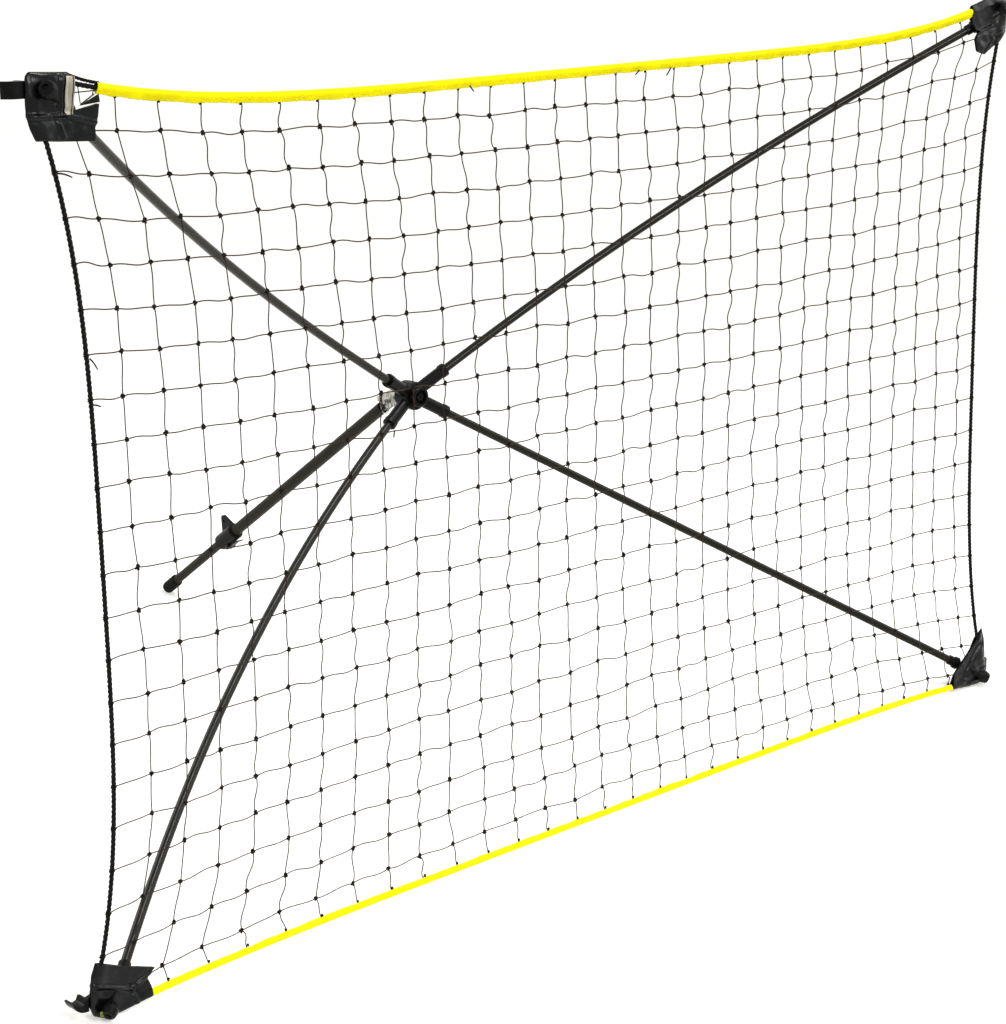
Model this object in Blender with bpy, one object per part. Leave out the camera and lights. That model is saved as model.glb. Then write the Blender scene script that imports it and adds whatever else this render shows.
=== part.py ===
"""Rebound net: a knotted net stretched between four bowed rods, propped by one telescopic leg.

Everything is modelled in the frame of the net: x runs along the net, y runs back from the player,
z runs up in the plane of the net, and the origin is where the hub's axis meets that plane.
The whole part is then leaned back until both lower corners and the foot stand on the ground.
Sizes are in metres and angles in degrees.
"""
import math

import bmesh
import bpy
import numpy as np
from mathutils import Matrix, Vector

# Clearances
TOUCH_GAP = 0.0003
RUNNING_GAP = 0.00035
WEAVE_GAP = 0.0005

# Net
CORD_WIDTH = 0.0022
CORD_THICKNESS = 0.0018
NET_COLUMNS = 20
NET_ROWS = 14
SIDE_MIDDLE = 0.733
SIDE_POWER = 3.6
TOP_MIDDLE = 0.4433
BOTTOM_MIDDLE = 0.4857
BAND_POWER = 5
NET_DROP = 0.0212
ROPE_DIAMETER = 0.005
ROPE_CORNER_RADIUS = 0.014
SIDE_SPANS = 7
BAND_SPANS = 9
BAND_HEIGHT = 0.011
BAND_DEPTH = 0.0078

# Corner pockets
POCKET_WALL = 0.0012
POCKET_WIDTH = 0.078
POCKET_CORNER = 0.005
TOP_POCKET_HEIGHT = 0.065
TOP_POCKET_SLANT = -0.0055
BOTTOM_POCKET_HEIGHT = 0.067
BOTTOM_POCKET_SLANT = 0.029

# Rods and their end fittings
ROD_DIAMETER = 0.011
ROD_ROOT_ANGLE = 12.45
ROD_ROOT_RISE = 30.7
ROD_STRAIGHT_END = 0.056
CORNER_X = 0.751
CORNER_RISE = 0.4643
CORNER_DROP = 0.4805
ROPE_CORNER_SHIFT = 0.015
TOP_ROPE_LIFT = 0.0086
BOTTOM_ROPE_LIFT = 0.0058
FERRULE_LENGTH = 0.015
FERRULE_MOUTH_DIAMETER = 0.0145
FERRULE_FLARE_DIAMETER = 0.018
FERRULE_SETBACK = 0.0235
NECK_DIAMETER = 0.009
KNOB_DIAMETER = 0.019
KNOB_BACK_DIAMETER = 0.0106
KNOB_FRONT_DIAMETER = 0.017
KNOB_START = 0.0124
KNOB_LIP = 0.0025
KNOB_DISH_RIM = 0.0073
KNOB_DISH_FLOOR = 0.0052
KNOB_DISH_DEPTH = 0.0022
KNOB_TAPER = 0.0082
KNOB_LENGTH = 0.0174
KNOB_SOCKET_DEPTH = 0.008
HOOK_ARM_WIDTH = 0.011
HOOK_ARM_THICKNESS = 0.005
HOOK_REACH = 0.0195
TOP_HOOK_RISE = 0.0113
BOTTOM_HOOK_RISE = 0.003
CLAW_WIDTH = 0.017
CLAW_ROOT = 0.014
CLAW_BUMP = 0.0012
CLAW_TIP = 0.0024
CLAW_LIFT = 0.0135
CLAW_CURL = 78.0

# Hub
HUB_DEPTH = 0.3693
HUB_RADIUS = 0.019
HUB_THICKNESS = 0.024
HUB_BOSS_DIAMETER = 0.0275
HUB_BOSS_HEIGHT = 0.009
HUB_RECESS_DIAMETER = 0.0185
HUB_RECESS_DEPTH = 0.006
ARM_DIAMETER = 0.0166
ARM_REACH = 0.058
ARM_RIM_DIAMETER = 0.0186
ARM_RIM_LENGTH = 0.007
ARM_SOCKET_FLOOR = 0.017
BOLT_DIAMETER = 0.006
BOLT_HEAD_FLATS = 0.010
BOLT_HEAD_HEIGHT = 0.004
WASHER_DIAMETER = 0.0125
WASHER_THICKNESS = 0.0012
NUT_HEIGHT = 0.005

# Leg bracket and its pins
BRACKET_PLATE = 0.0018
BRACKET_INSIDE = 0.0124
BRACKET_HEIGHT = 0.030
BRACKET_NOSE_RADIUS = 0.009
PIN_DIAMETER = 0.006
PIN_HEAD_DIAMETER = 0.009
PIN_HEAD_HEIGHT = 0.0018
PIN_TAIL = 0.006
STOP_PIN_DIAMETER = 0.004
STOP_PIN_REACH = 0.012
RING_RADIUS = 0.0080
RING_WIRE = 0.0013
RING_HOLE = 0.0028

# Leg
LEG_PIN_SETBACK = 0.0297
LEG_PIN_DROP = 0.0131
LEG_ANGLE = 34.2
LEG_LENGTH = 0.672
UPPER_TUBE_DIAMETER = 0.0165
UPPER_TUBE_BORE = 0.0139
UPPER_TUBE_START = 0.024
UPPER_TUBE_LENGTH = 0.439
LOWER_TUBE_DIAMETER = 0.0132
LOWER_TUBE_BORE = 0.0108
LOWER_TUBE_LENGTH = 0.405
PLUG_LENGTH = 0.022
PLUG_FLANGE = 0.003
TONGUE_THICKNESS = 0.0118
TONGUE_HEIGHT = 0.013
GUIDE_LENGTH = 0.014
FOOT_DIAMETER = 0.0186
FOOT_LENGTH = 0.036
FOOT_SOLE = 0.008

# Clamp
COLLAR_DIAMETER = 0.0245
COLLAR_LENGTH = 0.046
COLLAR_GRIP = 0.020
EYELET_HEIGHT = 0.0215
EYELET_LENGTH = 0.030
EYELET_THICKNESS = 0.005
EYELET_HOLE = 0.005
EYELET_HOLE_DEPTH = 0.009
CHEEK_THICKNESS = 0.003
CHEEK_LENGTH = 0.020
CHEEK_ROUND = 0.0036
LEVER_WIDTH = 0.0084
LEVER_LENGTH = 0.031
LEVER_THICKNESS = 0.003
LEVER_TIP_FLARE = 0.002
LEVER_HEEL = 0.0008
LEVER_PIN_SETBACK = 0.016
CAM_DROP = 0.0132
CAM_OFFSET = 0.001
LEVER_PIN_DIAMETER = 0.003

# Facets
ROUND_STEPS = 20
SMALL_STEPS = 12
ARC_STEPS = 6

LEFT, RIGHT = -1, 1
BOTTOM, TOP = -1, 1
CORNERS = {
    "top_left": (LEFT, TOP),
    "top_right": (RIGHT, TOP),
    "bottom_left": (LEFT, BOTTOM),
    "bottom_right": (RIGHT, BOTTOM),
}
# How far each hook is turned about its own arm, as the rods lay when they were pushed home
HOOK_TURN = {"top_left": 90.0, "top_right": 0.0, "bottom_left": 0.0, "bottom_right": 90.0}


# Derived values of the rod line

CORNER_Z = {TOP: CORNER_RISE, BOTTOM: CORNER_DROP}
HOOK_RISE = {TOP: TOP_HOOK_RISE, BOTTOM: BOTTOM_HOOK_RISE}
CORNER_DISTANCE = {level: math.hypot(CORNER_X, CORNER_Z[level]) for level in CORNER_Z}
CORNER_REACH = CORNER_DISTANCE[TOP]
ROOT_SLOPE = math.tan(math.radians(ROD_ROOT_ANGLE))
BOW_START = ARM_REACH + 0.002
BOW_END = CORNER_REACH - ROD_STRAIGHT_END
BOW_SPAN = BOW_END - BOW_START
BOWED_SPAN = BOW_SPAN ** 2 + 2 * BOW_SPAN * ROD_STRAIGHT_END
ROD_BOW = (HUB_DEPTH - ROOT_SLOPE * CORNER_REACH) / BOWED_SPAN


def bowed(reach):
    """How far the bow has grown at a distance out: a parabola that runs on straight into the ferrule."""
    bend = min(max(reach - BOW_START, 0.0), BOW_SPAN)
    past = max(reach - BOW_END, 0.0)
    return bend ** 2 + 2 * BOW_SPAN * past


def rod_depth(reach):
    """Distance of the rod's centre line behind the net, at a distance out from the hub's axis."""
    return HUB_DEPTH - ROOT_SLOPE * reach - ROD_BOW * bowed(reach)


def rod_heading(corner):
    """Unit vectors in the net's plane: from the hub to the corner, and square to that, towards level."""
    side, level = CORNERS[corner]
    heading = Vector((side * CORNER_X, 0.0, level * CORNER_Z[level])).normalized()
    return heading, Vector((abs(heading.z) * side, 0.0, -abs(heading.x) * level))


def side_slope(level):
    """Slope in the net's plane between a rod's socket and the straight line to its corner."""
    return math.tan(math.atan2(CORNER_Z[level], CORNER_X) - math.radians(ROD_ROOT_RISE))


def rod_point(corner, reach):
    """Point of a rod's centre line, which bows back to its corner in both directions."""
    level = CORNERS[corner][1]
    heading, levelward = rod_heading(corner)
    slope = side_slope(level)
    aside = slope * (reach - CORNER_REACH * bowed(reach) / BOWED_SPAN)
    stretch = CORNER_DISTANCE[level] / CORNER_REACH
    return (heading * reach + levelward * aside) * stretch + Vector((0.0, rod_depth(reach), 0.0))


def rod_direction(corner, reach):
    """Unit vector along a rod, outward and towards the player."""
    step = ROD_STRAIGHT_END / 4
    return (rod_point(corner, reach) - rod_point(corner, reach - step)).normalized()


def rod_end(corner):
    """Point where the rod's axis crosses the net, and the axis there."""
    return rod_point(corner, CORNER_REACH), rod_direction(corner, CORNER_REACH)


# Small modelling tools

def clear_scene():
    for old in list(bpy.data.objects):
        bpy.data.objects.remove(old, do_unlink=True)


def make_material(name, colour, roughness, metallic=0.0):
    material = bpy.data.materials.new(name)
    material.use_nodes = True
    shader = material.node_tree.nodes["Principled BSDF"]
    shader.inputs["Base Color"].default_value = (*colour, 1.0)
    shader.inputs["Roughness"].default_value = roughness
    shader.inputs["Metallic"].default_value = metallic
    material.diffuse_color = (*colour, 1.0)
    return material


def frame_at(origin, axis, hint=(0.0, 0.0, 1.0)):
    """Matrix whose z runs along the axis and whose x lies as near as it can to the hint."""
    z = Vector(axis).normalized()
    x = Vector(hint) - z * z.dot(Vector(hint))
    if x.length < 1e-6:
        x = z.orthogonal()
    x.normalize()
    y = z.cross(x)
    turn = Matrix((x, y, z)).transposed().to_4x4()
    return Matrix.Translation(Vector(origin)) @ turn


def add_object(name, data, root, material=None, placement=None):
    thing = bpy.data.objects.new(name, data)
    bpy.context.collection.objects.link(thing)
    thing.parent = root
    if placement is not None:
        thing.matrix_local = placement
    if material is not None:
        data.materials.append(material)
    return thing


def finish_mesh(name, shape, smooth=True):
    bmesh.ops.remove_doubles(shape, verts=shape.verts, dist=1e-6)
    bmesh.ops.dissolve_degenerate(shape, edges=shape.edges, dist=1e-7)
    bmesh.ops.recalc_face_normals(shape, faces=shape.faces)
    mesh = bpy.data.meshes.new(name)
    shape.to_mesh(mesh)
    shape.free()
    if smooth:
        mesh.shade_smooth()
        mesh.set_sharp_from_angle(angle=math.radians(35))
    return mesh


def turned(name, profile, steps=ROUND_STEPS, closed=False):
    """Revolve a profile of (radius, height) points about z."""
    shape = bmesh.new()
    points = [shape.verts.new((radius, 0.0, height)) for radius, height in profile]
    edges = [shape.edges.new(pair) for pair in zip(points, points[1:])]
    if closed:
        edges.append(shape.edges.new((points[-1], points[0])))
    bmesh.ops.spin(
        shape,
        geom=points + edges,
        axis=(0, 0, 1),
        cent=(0, 0, 0),
        angle=2 * math.pi,
        steps=steps,
        use_merge=True,
    )
    return finish_mesh(name, shape)


def rod_shape(name, radius, start, end, steps=ROUND_STEPS):
    return turned(name, [(0.0, start), (radius, start), (radius, end), (0.0, end)], steps)


def tube_shape(name, outer, inner, start, end, steps=ROUND_STEPS):
    profile = [(outer, start), (outer, end), (inner, end), (inner, start)]
    return turned(name, profile, steps, closed=True)


def extruded(name, outline, start, end, smooth=True):
    """Extrude a flat outline of (x, y) points along z."""
    shape = bmesh.new()
    face = shape.faces.new([shape.verts.new((x, y, start)) for x, y in outline])
    lifted = bmesh.ops.extrude_face_region(shape, geom=[face])
    moved = [part for part in lifted["geom"] if isinstance(part, bmesh.types.BMVert)]
    bmesh.ops.translate(shape, verts=moved, vec=(0.0, 0.0, end - start))
    return finish_mesh(name, shape, smooth)


def arc(centre, radius, start, end, steps=ARC_STEPS):
    """Points of an arc, with its angles in degrees."""
    return [
        (
            centre[0] + radius * math.cos(math.radians(start + (end - start) * step / steps)),
            centre[1] + radius * math.sin(math.radians(start + (end - start) * step / steps)),
        )
        for step in range(steps + 1)
    ]


def polygon(flats, sides=6):
    radius = flats / 2 / math.cos(math.pi / sides)
    return [
        (radius * math.cos(2 * math.pi * side / sides), radius * math.sin(2 * math.pi * side / sides))
        for side in range(sides)
    ]


def combine(thing, tool, operation):
    """Join a tool to an object, or cut it out, and hide the tool."""
    change = thing.modifiers.new(f"{operation.lower()}_{tool.name}", "BOOLEAN")
    change.operation = operation
    change.solver = "EXACT"
    change.object = tool
    tool.hide_render = True
    tool.hide_viewport = False
    tool.display_type = "WIRE"


def joined(thing, tool):
    combine(thing, tool, "UNION")


def cut(thing, tool):
    combine(thing, tool, "DIFFERENCE")


# Materials

def make_materials():
    return {
        "net_twine": make_material("net_twine", (0.012, 0.012, 0.012), 0.75),
        "border_rope": make_material("border_rope", (0.010, 0.010, 0.011), 0.8),
        "yellow_tape": make_material("yellow_tape", (0.93, 0.93, 0.01), 0.55),
        "pocket_vinyl": make_material("pocket_vinyl", (0.016, 0.018, 0.020), 0.35),
        "rod_fibreglass": make_material("rod_fibreglass", (0.022, 0.022, 0.019), 0.25),
        "moulded_plastic": make_material("moulded_plastic", (0.018, 0.018, 0.018), 0.45),
        "zinc_steel": make_material("zinc_steel", (0.62, 0.62, 0.60), 0.28, 1.0),
        "tube_enamel": make_material("tube_enamel", (0.035, 0.035, 0.028), 0.5),
        "foot_rubber": make_material("foot_rubber", (0.015, 0.015, 0.015), 0.85),
    }


# Net, rope and bands

ROPE_CORNER_X = CORNER_X + ROPE_CORNER_SHIFT
ROPE_CORNER_Z = {TOP: CORNER_RISE + TOP_ROPE_LIFT, BOTTOM: CORNER_DROP + BOTTOM_ROPE_LIFT}
BAND_MIDDLE = {TOP: TOP_MIDDLE, BOTTOM: BOTTOM_MIDDLE}


def edge_run(middle, centre_across, centre_along, power):
    """Tangent angle, length and sag of a drawn-in edge, from its middle to the arc at its corner."""
    angle = 0.0
    for _ in range(12):
        sag = centre_across + ROPE_CORNER_RADIUS * math.cos(angle) - middle
        length = centre_along - ROPE_CORNER_RADIUS * math.sin(angle)
        angle = math.atan(power * sag / length)
    return angle, length, sag


def side_run(level):
    return edge_run(SIDE_MIDDLE, ROPE_CORNER_X, ROPE_CORNER_Z[level] + level * NET_DROP, SIDE_POWER)


def band_run(level):
    return edge_run(BAND_MIDDLE[level], ROPE_CORNER_Z[level], ROPE_CORNER_X, BAND_POWER)


def side_stations(level):
    """Heights and distances of the rope's points on the upper or lower half of a side."""
    _, length, sag = side_run(level)
    shares = [step / SIDE_SPANS for step in range(SIDE_SPANS + 1)]
    return [length * share for share in shares], [SIDE_MIDDLE + sag * share ** SIDE_POWER for share in shares]


def band_stations(level):
    """Distances and heights of the rope's points on the right half of the top or bottom."""
    _, length, sag = band_run(level)
    shares = [step / BAND_SPANS for step in range(BAND_SPANS + 1)]
    heights = [BAND_MIDDLE[level] + sag * share ** BAND_POWER for share in shares]
    return [length * share for share in shares], heights


def side_x(z):
    """Where the rope's straight runs lie on a side."""
    rise = z + NET_DROP
    heights, reaches = side_stations(TOP if rise > 0 else BOTTOM)
    return float(np.interp(abs(rise), heights, reaches))


def band_z(level, x):
    """Where the rope's straight runs lie at the top or bottom."""
    reaches, heights = band_stations(level)
    return level * float(np.interp(abs(x), reaches, heights))


def rope_quarter(level):
    """Distances of the rope round one corner, from the middle of the side to that of the band."""
    heights, reaches = side_stations(level)
    run = [(reach, height - level * NET_DROP) for reach, height in zip(reaches, heights)][:-1]
    run += arc(
        (ROPE_CORNER_X, ROPE_CORNER_Z[level]),
        ROPE_CORNER_RADIUS,
        -math.degrees(side_run(level)[0]),
        90 + math.degrees(band_run(level)[0]),
    )
    return run + list(zip(*band_stations(level)))[-2::-1]


def rope_route():
    """Points of the closed rope, from the middle of the right side and counter-clockwise."""
    points = []
    for side, level in ((RIGHT, TOP), (LEFT, TOP), (LEFT, BOTTOM), (RIGHT, BOTTOM)):
        mirrored = [(side * x, level * z) for x, z in rope_quarter(level)]
        if side != level:
            mirrored.reverse()
        points += mirrored[:-1]
    return points


def add_rope(root, materials):
    route = rope_route()
    curve = bpy.data.curves.new("border_rope", "CURVE")
    curve.dimensions = "3D"
    curve.bevel_depth = ROPE_DIAMETER / 2
    curve.bevel_resolution = 1
    spline = curve.splines.new("POLY")
    spline.points.add(len(route) - 1)
    for point, (x, z) in zip(spline.points, route):
        point.co = (x, 0.0, z, 1.0)
    spline.use_cyclic_u = True
    spline.use_smooth = True
    return add_object("border_rope", curve, root, materials["border_rope"])


def add_band(name, level, root, materials):
    """Flattened sleeve of tape round the rope, open at both ends."""
    sides = 10
    end = POCKET_INNER_X - TOUCH_GAP
    inner = [x for x in band_stations(level)[0] if x < end - BAND_HEIGHT]
    stations = [-end] + [-x for x in inner[:0:-1]] + inner + [end]
    shape = bmesh.new()
    rings = []
    for x in stations:
        step = BAND_HEIGHT
        slope = 0.0
        # The ends are cut square to the pockets
        if abs(x) < end:
            slope = (band_z(level, x + step) - band_z(level, x - step)) / (2 * step)
        along = Vector((1.0, 0.0, slope)).normalized()
        up = Vector((-along.z, 0.0, along.x))
        centre = Vector((x, 0.0, band_z(level, x)))
        ring = []
        for height, depth in ((BAND_HEIGHT / 2, BAND_DEPTH / 2), (ROPE_BORE / 2, ROPE_BORE / 2)):
            ring.append([
                shape.verts.new(
                    centre
                    + up * height * math.cos(2 * math.pi * side / sides)
                    + Vector((0.0, depth * math.sin(2 * math.pi * side / sides), 0.0))
                )
                for side in range(sides)
            ])
        rings.append(ring)
    for side in range(sides):
        after = (side + 1) % sides
        for near, far in zip(rings, rings[1:]):
            for wall in (0, 1):
                shape.faces.new((near[wall][side], near[wall][after], far[wall][after], far[wall][side]))
        for ring in (rings[0], rings[-1]):
            shape.faces.new((ring[0][side], ring[0][after], ring[1][after], ring[1][side]))
    mesh = finish_mesh(name, shape)
    return add_object(name, mesh, root, materials["yellow_tape"])


ROPE_BORE = ROPE_DIAMETER + 2 * RUNNING_GAP
POCKET_OUTER_X = ROPE_CORNER_X + ROPE_CORNER_RADIUS + ROPE_DIAMETER / 2 + WEAVE_GAP + POCKET_WALL
POCKET_OUTER_Z = {
    level: ROPE_CORNER_Z[level] + ROPE_CORNER_RADIUS + ROPE_DIAMETER / 2 + WEAVE_GAP + POCKET_WALL
    for level in ROPE_CORNER_Z
}
POCKET_INNER_X = POCKET_OUTER_X - POCKET_WIDTH
POCKET_INNER_Z = {
    TOP: POCKET_OUTER_Z[TOP] - TOP_POCKET_HEIGHT,
    BOTTOM: POCKET_OUTER_Z[BOTTOM] - BOTTOM_POCKET_HEIGHT,
}
POCKET_SLANT = {TOP: TOP_POCKET_SLANT, BOTTOM: BOTTOM_POCKET_SLANT}
POCKET_HALF_DEPTH = ROPE_DIAMETER / 2 + WEAVE_GAP + POCKET_WALL


def net_point(across, upward):
    """Point of the net's lattice: both shares run from -1 to 1, from edge to edge."""
    x = across * SIDE_MIDDLE
    z = 0.0
    for _ in range(8):
        low = band_z(BOTTOM, x) + BAND_HEIGHT / 2 + TOUCH_GAP
        high = band_z(TOP, x) - BAND_HEIGHT / 2 - TOUCH_GAP
        z = low + (high - low) * (upward + 1) / 2
        x = across * (side_x(z) - ROPE_DIAMETER / 2 - TOUCH_GAP)
    return x, z


def add_net(root, materials):
    """Knotted lattice of cords, each cord a flat strip from edge to edge."""
    shape = bmesh.new()
    half = CORD_WIDTH / 2
    front = -CORD_THICKNESS / 2
    back = CORD_THICKNESS / 2

    def pair(x, z):
        return shape.verts.new((x, front, z)), shape.verts.new((x, back, z))

    def strip(first, second):
        """Close the four sides between two cord ends, each given as two pairs of points."""
        (a, b), (c, d) = first, second
        shape.faces.new((a[0], b[0], d[0], c[0]))
        shape.faces.new((a[1], c[1], d[1], b[1]))
        shape.faces.new((a[0], c[0], c[1], a[1]))
        shape.faces.new((b[0], b[1], d[1], d[0]))

    def tip(end):
        a, b = end
        shape.faces.new((a[0], a[1], b[1], b[0]))

    knots = {}
    for column in range(1, NET_COLUMNS):
        for row in range(1, NET_ROWS):
            x, z = net_point(2 * column / NET_COLUMNS - 1, 2 * row / NET_ROWS - 1)
            corners = [pair(x + i * half, z + j * half) for i, j in ((-1, -1), (1, -1), (1, 1), (-1, 1))]
            knots[column, row] = corners
            shape.faces.new([corner[0] for corner in corners])
            shape.faces.new([corner[1] for corner in reversed(corners)])
    for row in range(1, NET_ROWS):
        left_x, left_z = net_point(-1, 2 * row / NET_ROWS - 1)
        right_x, right_z = net_point(1, 2 * row / NET_ROWS - 1)
        end = (pair(left_x, left_z - half), pair(left_x, left_z + half))
        tip(end)
        for column in range(1, NET_COLUMNS):
            knot = knots[column, row]
            strip(end, (knot[0], knot[3]))
            end = (knot[1], knot[2])
        last = (pair(right_x, right_z - half), pair(right_x, right_z + half))
        strip(end, last)
        tip(last)
    for column in range(1, NET_COLUMNS):
        low_x, low_z = net_point(2 * column / NET_COLUMNS - 1, -1)
        high_x, high_z = net_point(2 * column / NET_COLUMNS - 1, 1)
        end = (pair(low_x - half, low_z), pair(low_x + half, low_z))
        tip(end)
        for row in range(1, NET_ROWS):
            knot = knots[column, row]
            strip(end, (knot[0], knot[1]))
            end = (knot[3], knot[2])
        last = (pair(high_x - half, high_z), pair(high_x + half, high_z))
        strip(end, last)
        tip(last)
    mesh = finish_mesh("net_mesh", shape, smooth=False)
    return add_object("net_mesh", mesh, root, materials["net_twine"])


# Corner pockets and rod ends

def set_off(run, distance):
    """A run of points moved outward by a distance, with mitred corners."""
    points = np.array(run)
    along = np.diff(points, axis=0)
    along /= np.linalg.norm(along, axis=1)[:, None]
    normals = np.stack([along[:, 1], -along[:, 0]], axis=1)
    before = np.vstack([normals[:1], normals])
    after = np.vstack([normals, normals[-1:]])
    mitre = (before + after) / (1 + (before * after).sum(axis=1))[:, None]
    return points + mitre * distance


def pocket_outline(corner, inset, overrun):
    """Outline of a pocket in x and z: it hugs the rope, has a square corner, and its open ends run over."""
    side, level = CORNERS[corner]
    run = set_off(rope_quarter(level), ROPE_DIAMETER / 2 + WEAVE_GAP + POCKET_WALL - inset)
    left = POCKET_INNER_X - overrun
    low = POCKET_INNER_Z[level] - overrun
    turn = int(np.argmax(run.sum(axis=1)))
    side_run = run[:turn]
    edge = run[turn:]
    beside = side_run[(side_run[:, 1] > low) & (side_run[:, 1] < ROPE_CORNER_Z[level])].tolist()
    beyond = edge[(edge[:, 0] > left) & (edge[:, 0] < ROPE_CORNER_X)].tolist()
    right = POCKET_OUTER_X - inset - POCKET_CORNER
    high = POCKET_OUTER_Z[level] - inset - POCKET_CORNER
    start = (float(np.interp(low, side_run[:, 1], side_run[:, 0])), low)
    outline = [(left, low + POCKET_SLANT[level]), start]
    outline += beside + arc((right, high), POCKET_CORNER, 0, 90) + beyond
    outline.append((left, float(np.interp(left, edge[::-1, 0], edge[::-1, 1]))))
    return [(side * x, level * z) for x, z in outline]


def add_pocket(corner, root, materials):
    """Two vinyl panels joined along the outer edges, with a hole for the rod's neck and its knob."""
    # The outline lies in x and z, so the extrusion runs along -y
    upright = Matrix.Rotation(math.radians(90), 4, "X")
    depth = POCKET_HALF_DEPTH
    pocket = add_object(
        f"pocket_{corner}",
        extruded(f"pocket_{corner}", pocket_outline(corner, 0.0, 0.0), -depth, depth),
        root,
        materials["pocket_vinyl"],
        upright,
    )
    hollow_depth = depth - POCKET_WALL
    inner = pocket_outline(corner, POCKET_WALL, POCKET_WALL)
    hollow = add_object(
        f"hollow_of_pocket_{corner}",
        extruded(f"hollow_of_pocket_{corner}", inner, -hollow_depth, hollow_depth),
        root,
        None,
        upright,
    )
    cut(pocket, hollow)
    place = frame_at(*rod_end(corner))
    neck_reach = KNOB_DIAMETER
    neck_mesh = rod_shape("neck_way", NECK_DIAMETER / 2 + WEAVE_GAP, -neck_reach, neck_reach, SMALL_STEPS)
    cut(pocket, add_object(f"neck_way_of_pocket_{corner}", neck_mesh, root, None, place))
    knob_mesh = turned("knob_way", knob_outside(WEAVE_GAP), SMALL_STEPS + 4)
    cut(pocket, add_object(f"knob_way_of_pocket_{corner}", knob_mesh, root, None, place))
    return pocket


def add_rod(corner, root, materials):
    """Bowed rod from the hub's socket to the floor of its ferrule."""
    start = ARM_SOCKET_FLOOR + TOUCH_GAP
    straight = (rod_point(corner, CORNER_REACH) - rod_point(corner, BOW_END)).length
    end = CORNER_REACH - (FERRULE_SETBACK + TOUCH_GAP) * ROD_STRAIGHT_END / straight
    reaches = [start, BOW_START]
    spans = 12
    reaches += [BOW_START + BOW_SPAN * span / spans for span in range(1, spans + 1)]
    reaches += [end]
    curve = bpy.data.curves.new(f"rod_{corner}", "CURVE")
    curve.dimensions = "3D"
    curve.bevel_depth = ROD_DIAMETER / 2
    curve.bevel_resolution = 3
    curve.use_fill_caps = True
    spline = curve.splines.new("POLY")
    spline.points.add(len(reaches) - 1)
    for point, reach in zip(spline.points, reaches):
        point.co = (*rod_point(corner, reach), 1.0)
    spline.use_smooth = True
    return add_object(f"rod_{corner}", curve, root, materials["rod_fibreglass"])


def claw_outline():
    """Side view of a hook: a thick root that sweeps round and thins to a raised tip."""
    steps = 8
    curl = math.radians(CLAW_CURL)
    radius = CLAW_LIFT / (1 - math.cos(curl))
    straight = HOOK_REACH - radius * math.sin(curl)
    half = CLAW_ROOT / 2
    low = [(0.0, -half)]
    high = [(0.0, half), (straight / 2, half), (straight, half + CLAW_BUMP)]
    for step in range(steps + 1):
        share = step / steps
        turn = curl * share
        thickness = CLAW_ROOT * (1 - share) ** 1.6 + CLAW_TIP * share
        low.append((straight + radius * math.sin(turn), radius * (1 - math.cos(turn)) - half))
        if step > 1:
            x, z = low[-1]
            high.append((x - thickness * math.sin(turn), z + thickness * math.cos(turn)))
    return low + high[::-1]


def add_hook(corner, root, materials):
    """Moulded rod end: a flared ferrule, a neck through the pocket, and an arm with a hook."""
    side, level = CORNERS[corner]
    centre, axis = rod_end(corner)
    flare = -FERRULE_SETBACK
    mouth = flare - FERRULE_LENGTH
    neck_end = KNOB_START + KNOB_SOCKET_DEPTH - TOUCH_GAP
    bore = ROD_DIAMETER / 2 + RUNNING_GAP
    profile = [
        (0.0, neck_end),
        (NECK_DIAMETER / 2, neck_end),
        (NECK_DIAMETER / 2, flare + 0.004),
        (FERRULE_FLARE_DIAMETER / 2, flare),
        (FERRULE_FLARE_DIAMETER / 2, flare - 0.006),
        (FERRULE_MOUTH_DIAMETER / 2, mouth + 0.010),
        (FERRULE_MOUTH_DIAMETER / 2, mouth),
        (bore, mouth),
        (bore, flare),
        (0.0, flare),
    ]
    hook = add_object(
        f"corner_hook_{corner}",
        turned(f"corner_hook_{corner}", profile, SMALL_STEPS + 4),
        root,
        materials["moulded_plastic"],
        frame_at(centre, axis),
    )
    arm_depth = POCKET_HALF_DEPTH + TOUCH_GAP + HOOK_ARM_THICKNESS / 2
    start = centre + axis * (flare + 0.004)
    start.y = arm_depth
    out = POCKET_OUTER_X + TOUCH_GAP
    end = Vector((side * out, arm_depth, level * (CORNER_Z[level] + HOOK_RISE[level])))
    reach = end - start
    across = HOOK_ARM_WIDTH / 2
    thick = HOOK_ARM_THICKNESS / 2
    outline = [(-across, -thick), (across, -thick), (across, thick), (-across, thick)]
    arm_frame = frame_at(start, reach, Vector((0, 1, 0)).cross(reach))
    arm = add_object(
        f"arm_of_hook_{corner}",
        extruded(f"arm_of_hook_{corner}", outline, 0.0, reach.length + 0.001, smooth=False),
        root,
        None,
        arm_frame,
    )
    joined(hook, arm)
    claw_mesh = extruded(f"claw_of_hook_{corner}", claw_outline(), -CLAW_WIDTH / 2, CLAW_WIDTH / 2)
    # The claw's outline runs outward in x and curls up in z, and is turned about its own arm
    outward = Matrix.Scale(side, 4, (1, 0, 0)) if side == LEFT else Matrix.Identity(4)
    lay = Matrix.Rotation(math.radians(90), 4, "X")
    turn = Matrix.Rotation(math.radians(-HOOK_TURN[corner]), 4, "X")
    claw_mesh.transform(outward @ turn @ lay)
    if side == LEFT:
        claw_mesh.flip_normals()
    claw_depth = arm_depth + max(0.0, (CLAW_WIDTH - HOOK_ARM_THICKNESS) / 2 - POCKET_HALF_DEPTH)
    claw_place = Matrix.Translation((end.x, claw_depth, end.z))
    claw = add_object(f"claw_of_hook_{corner}", claw_mesh, root, None, claw_place)
    joined(hook, claw)
    return hook


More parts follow.
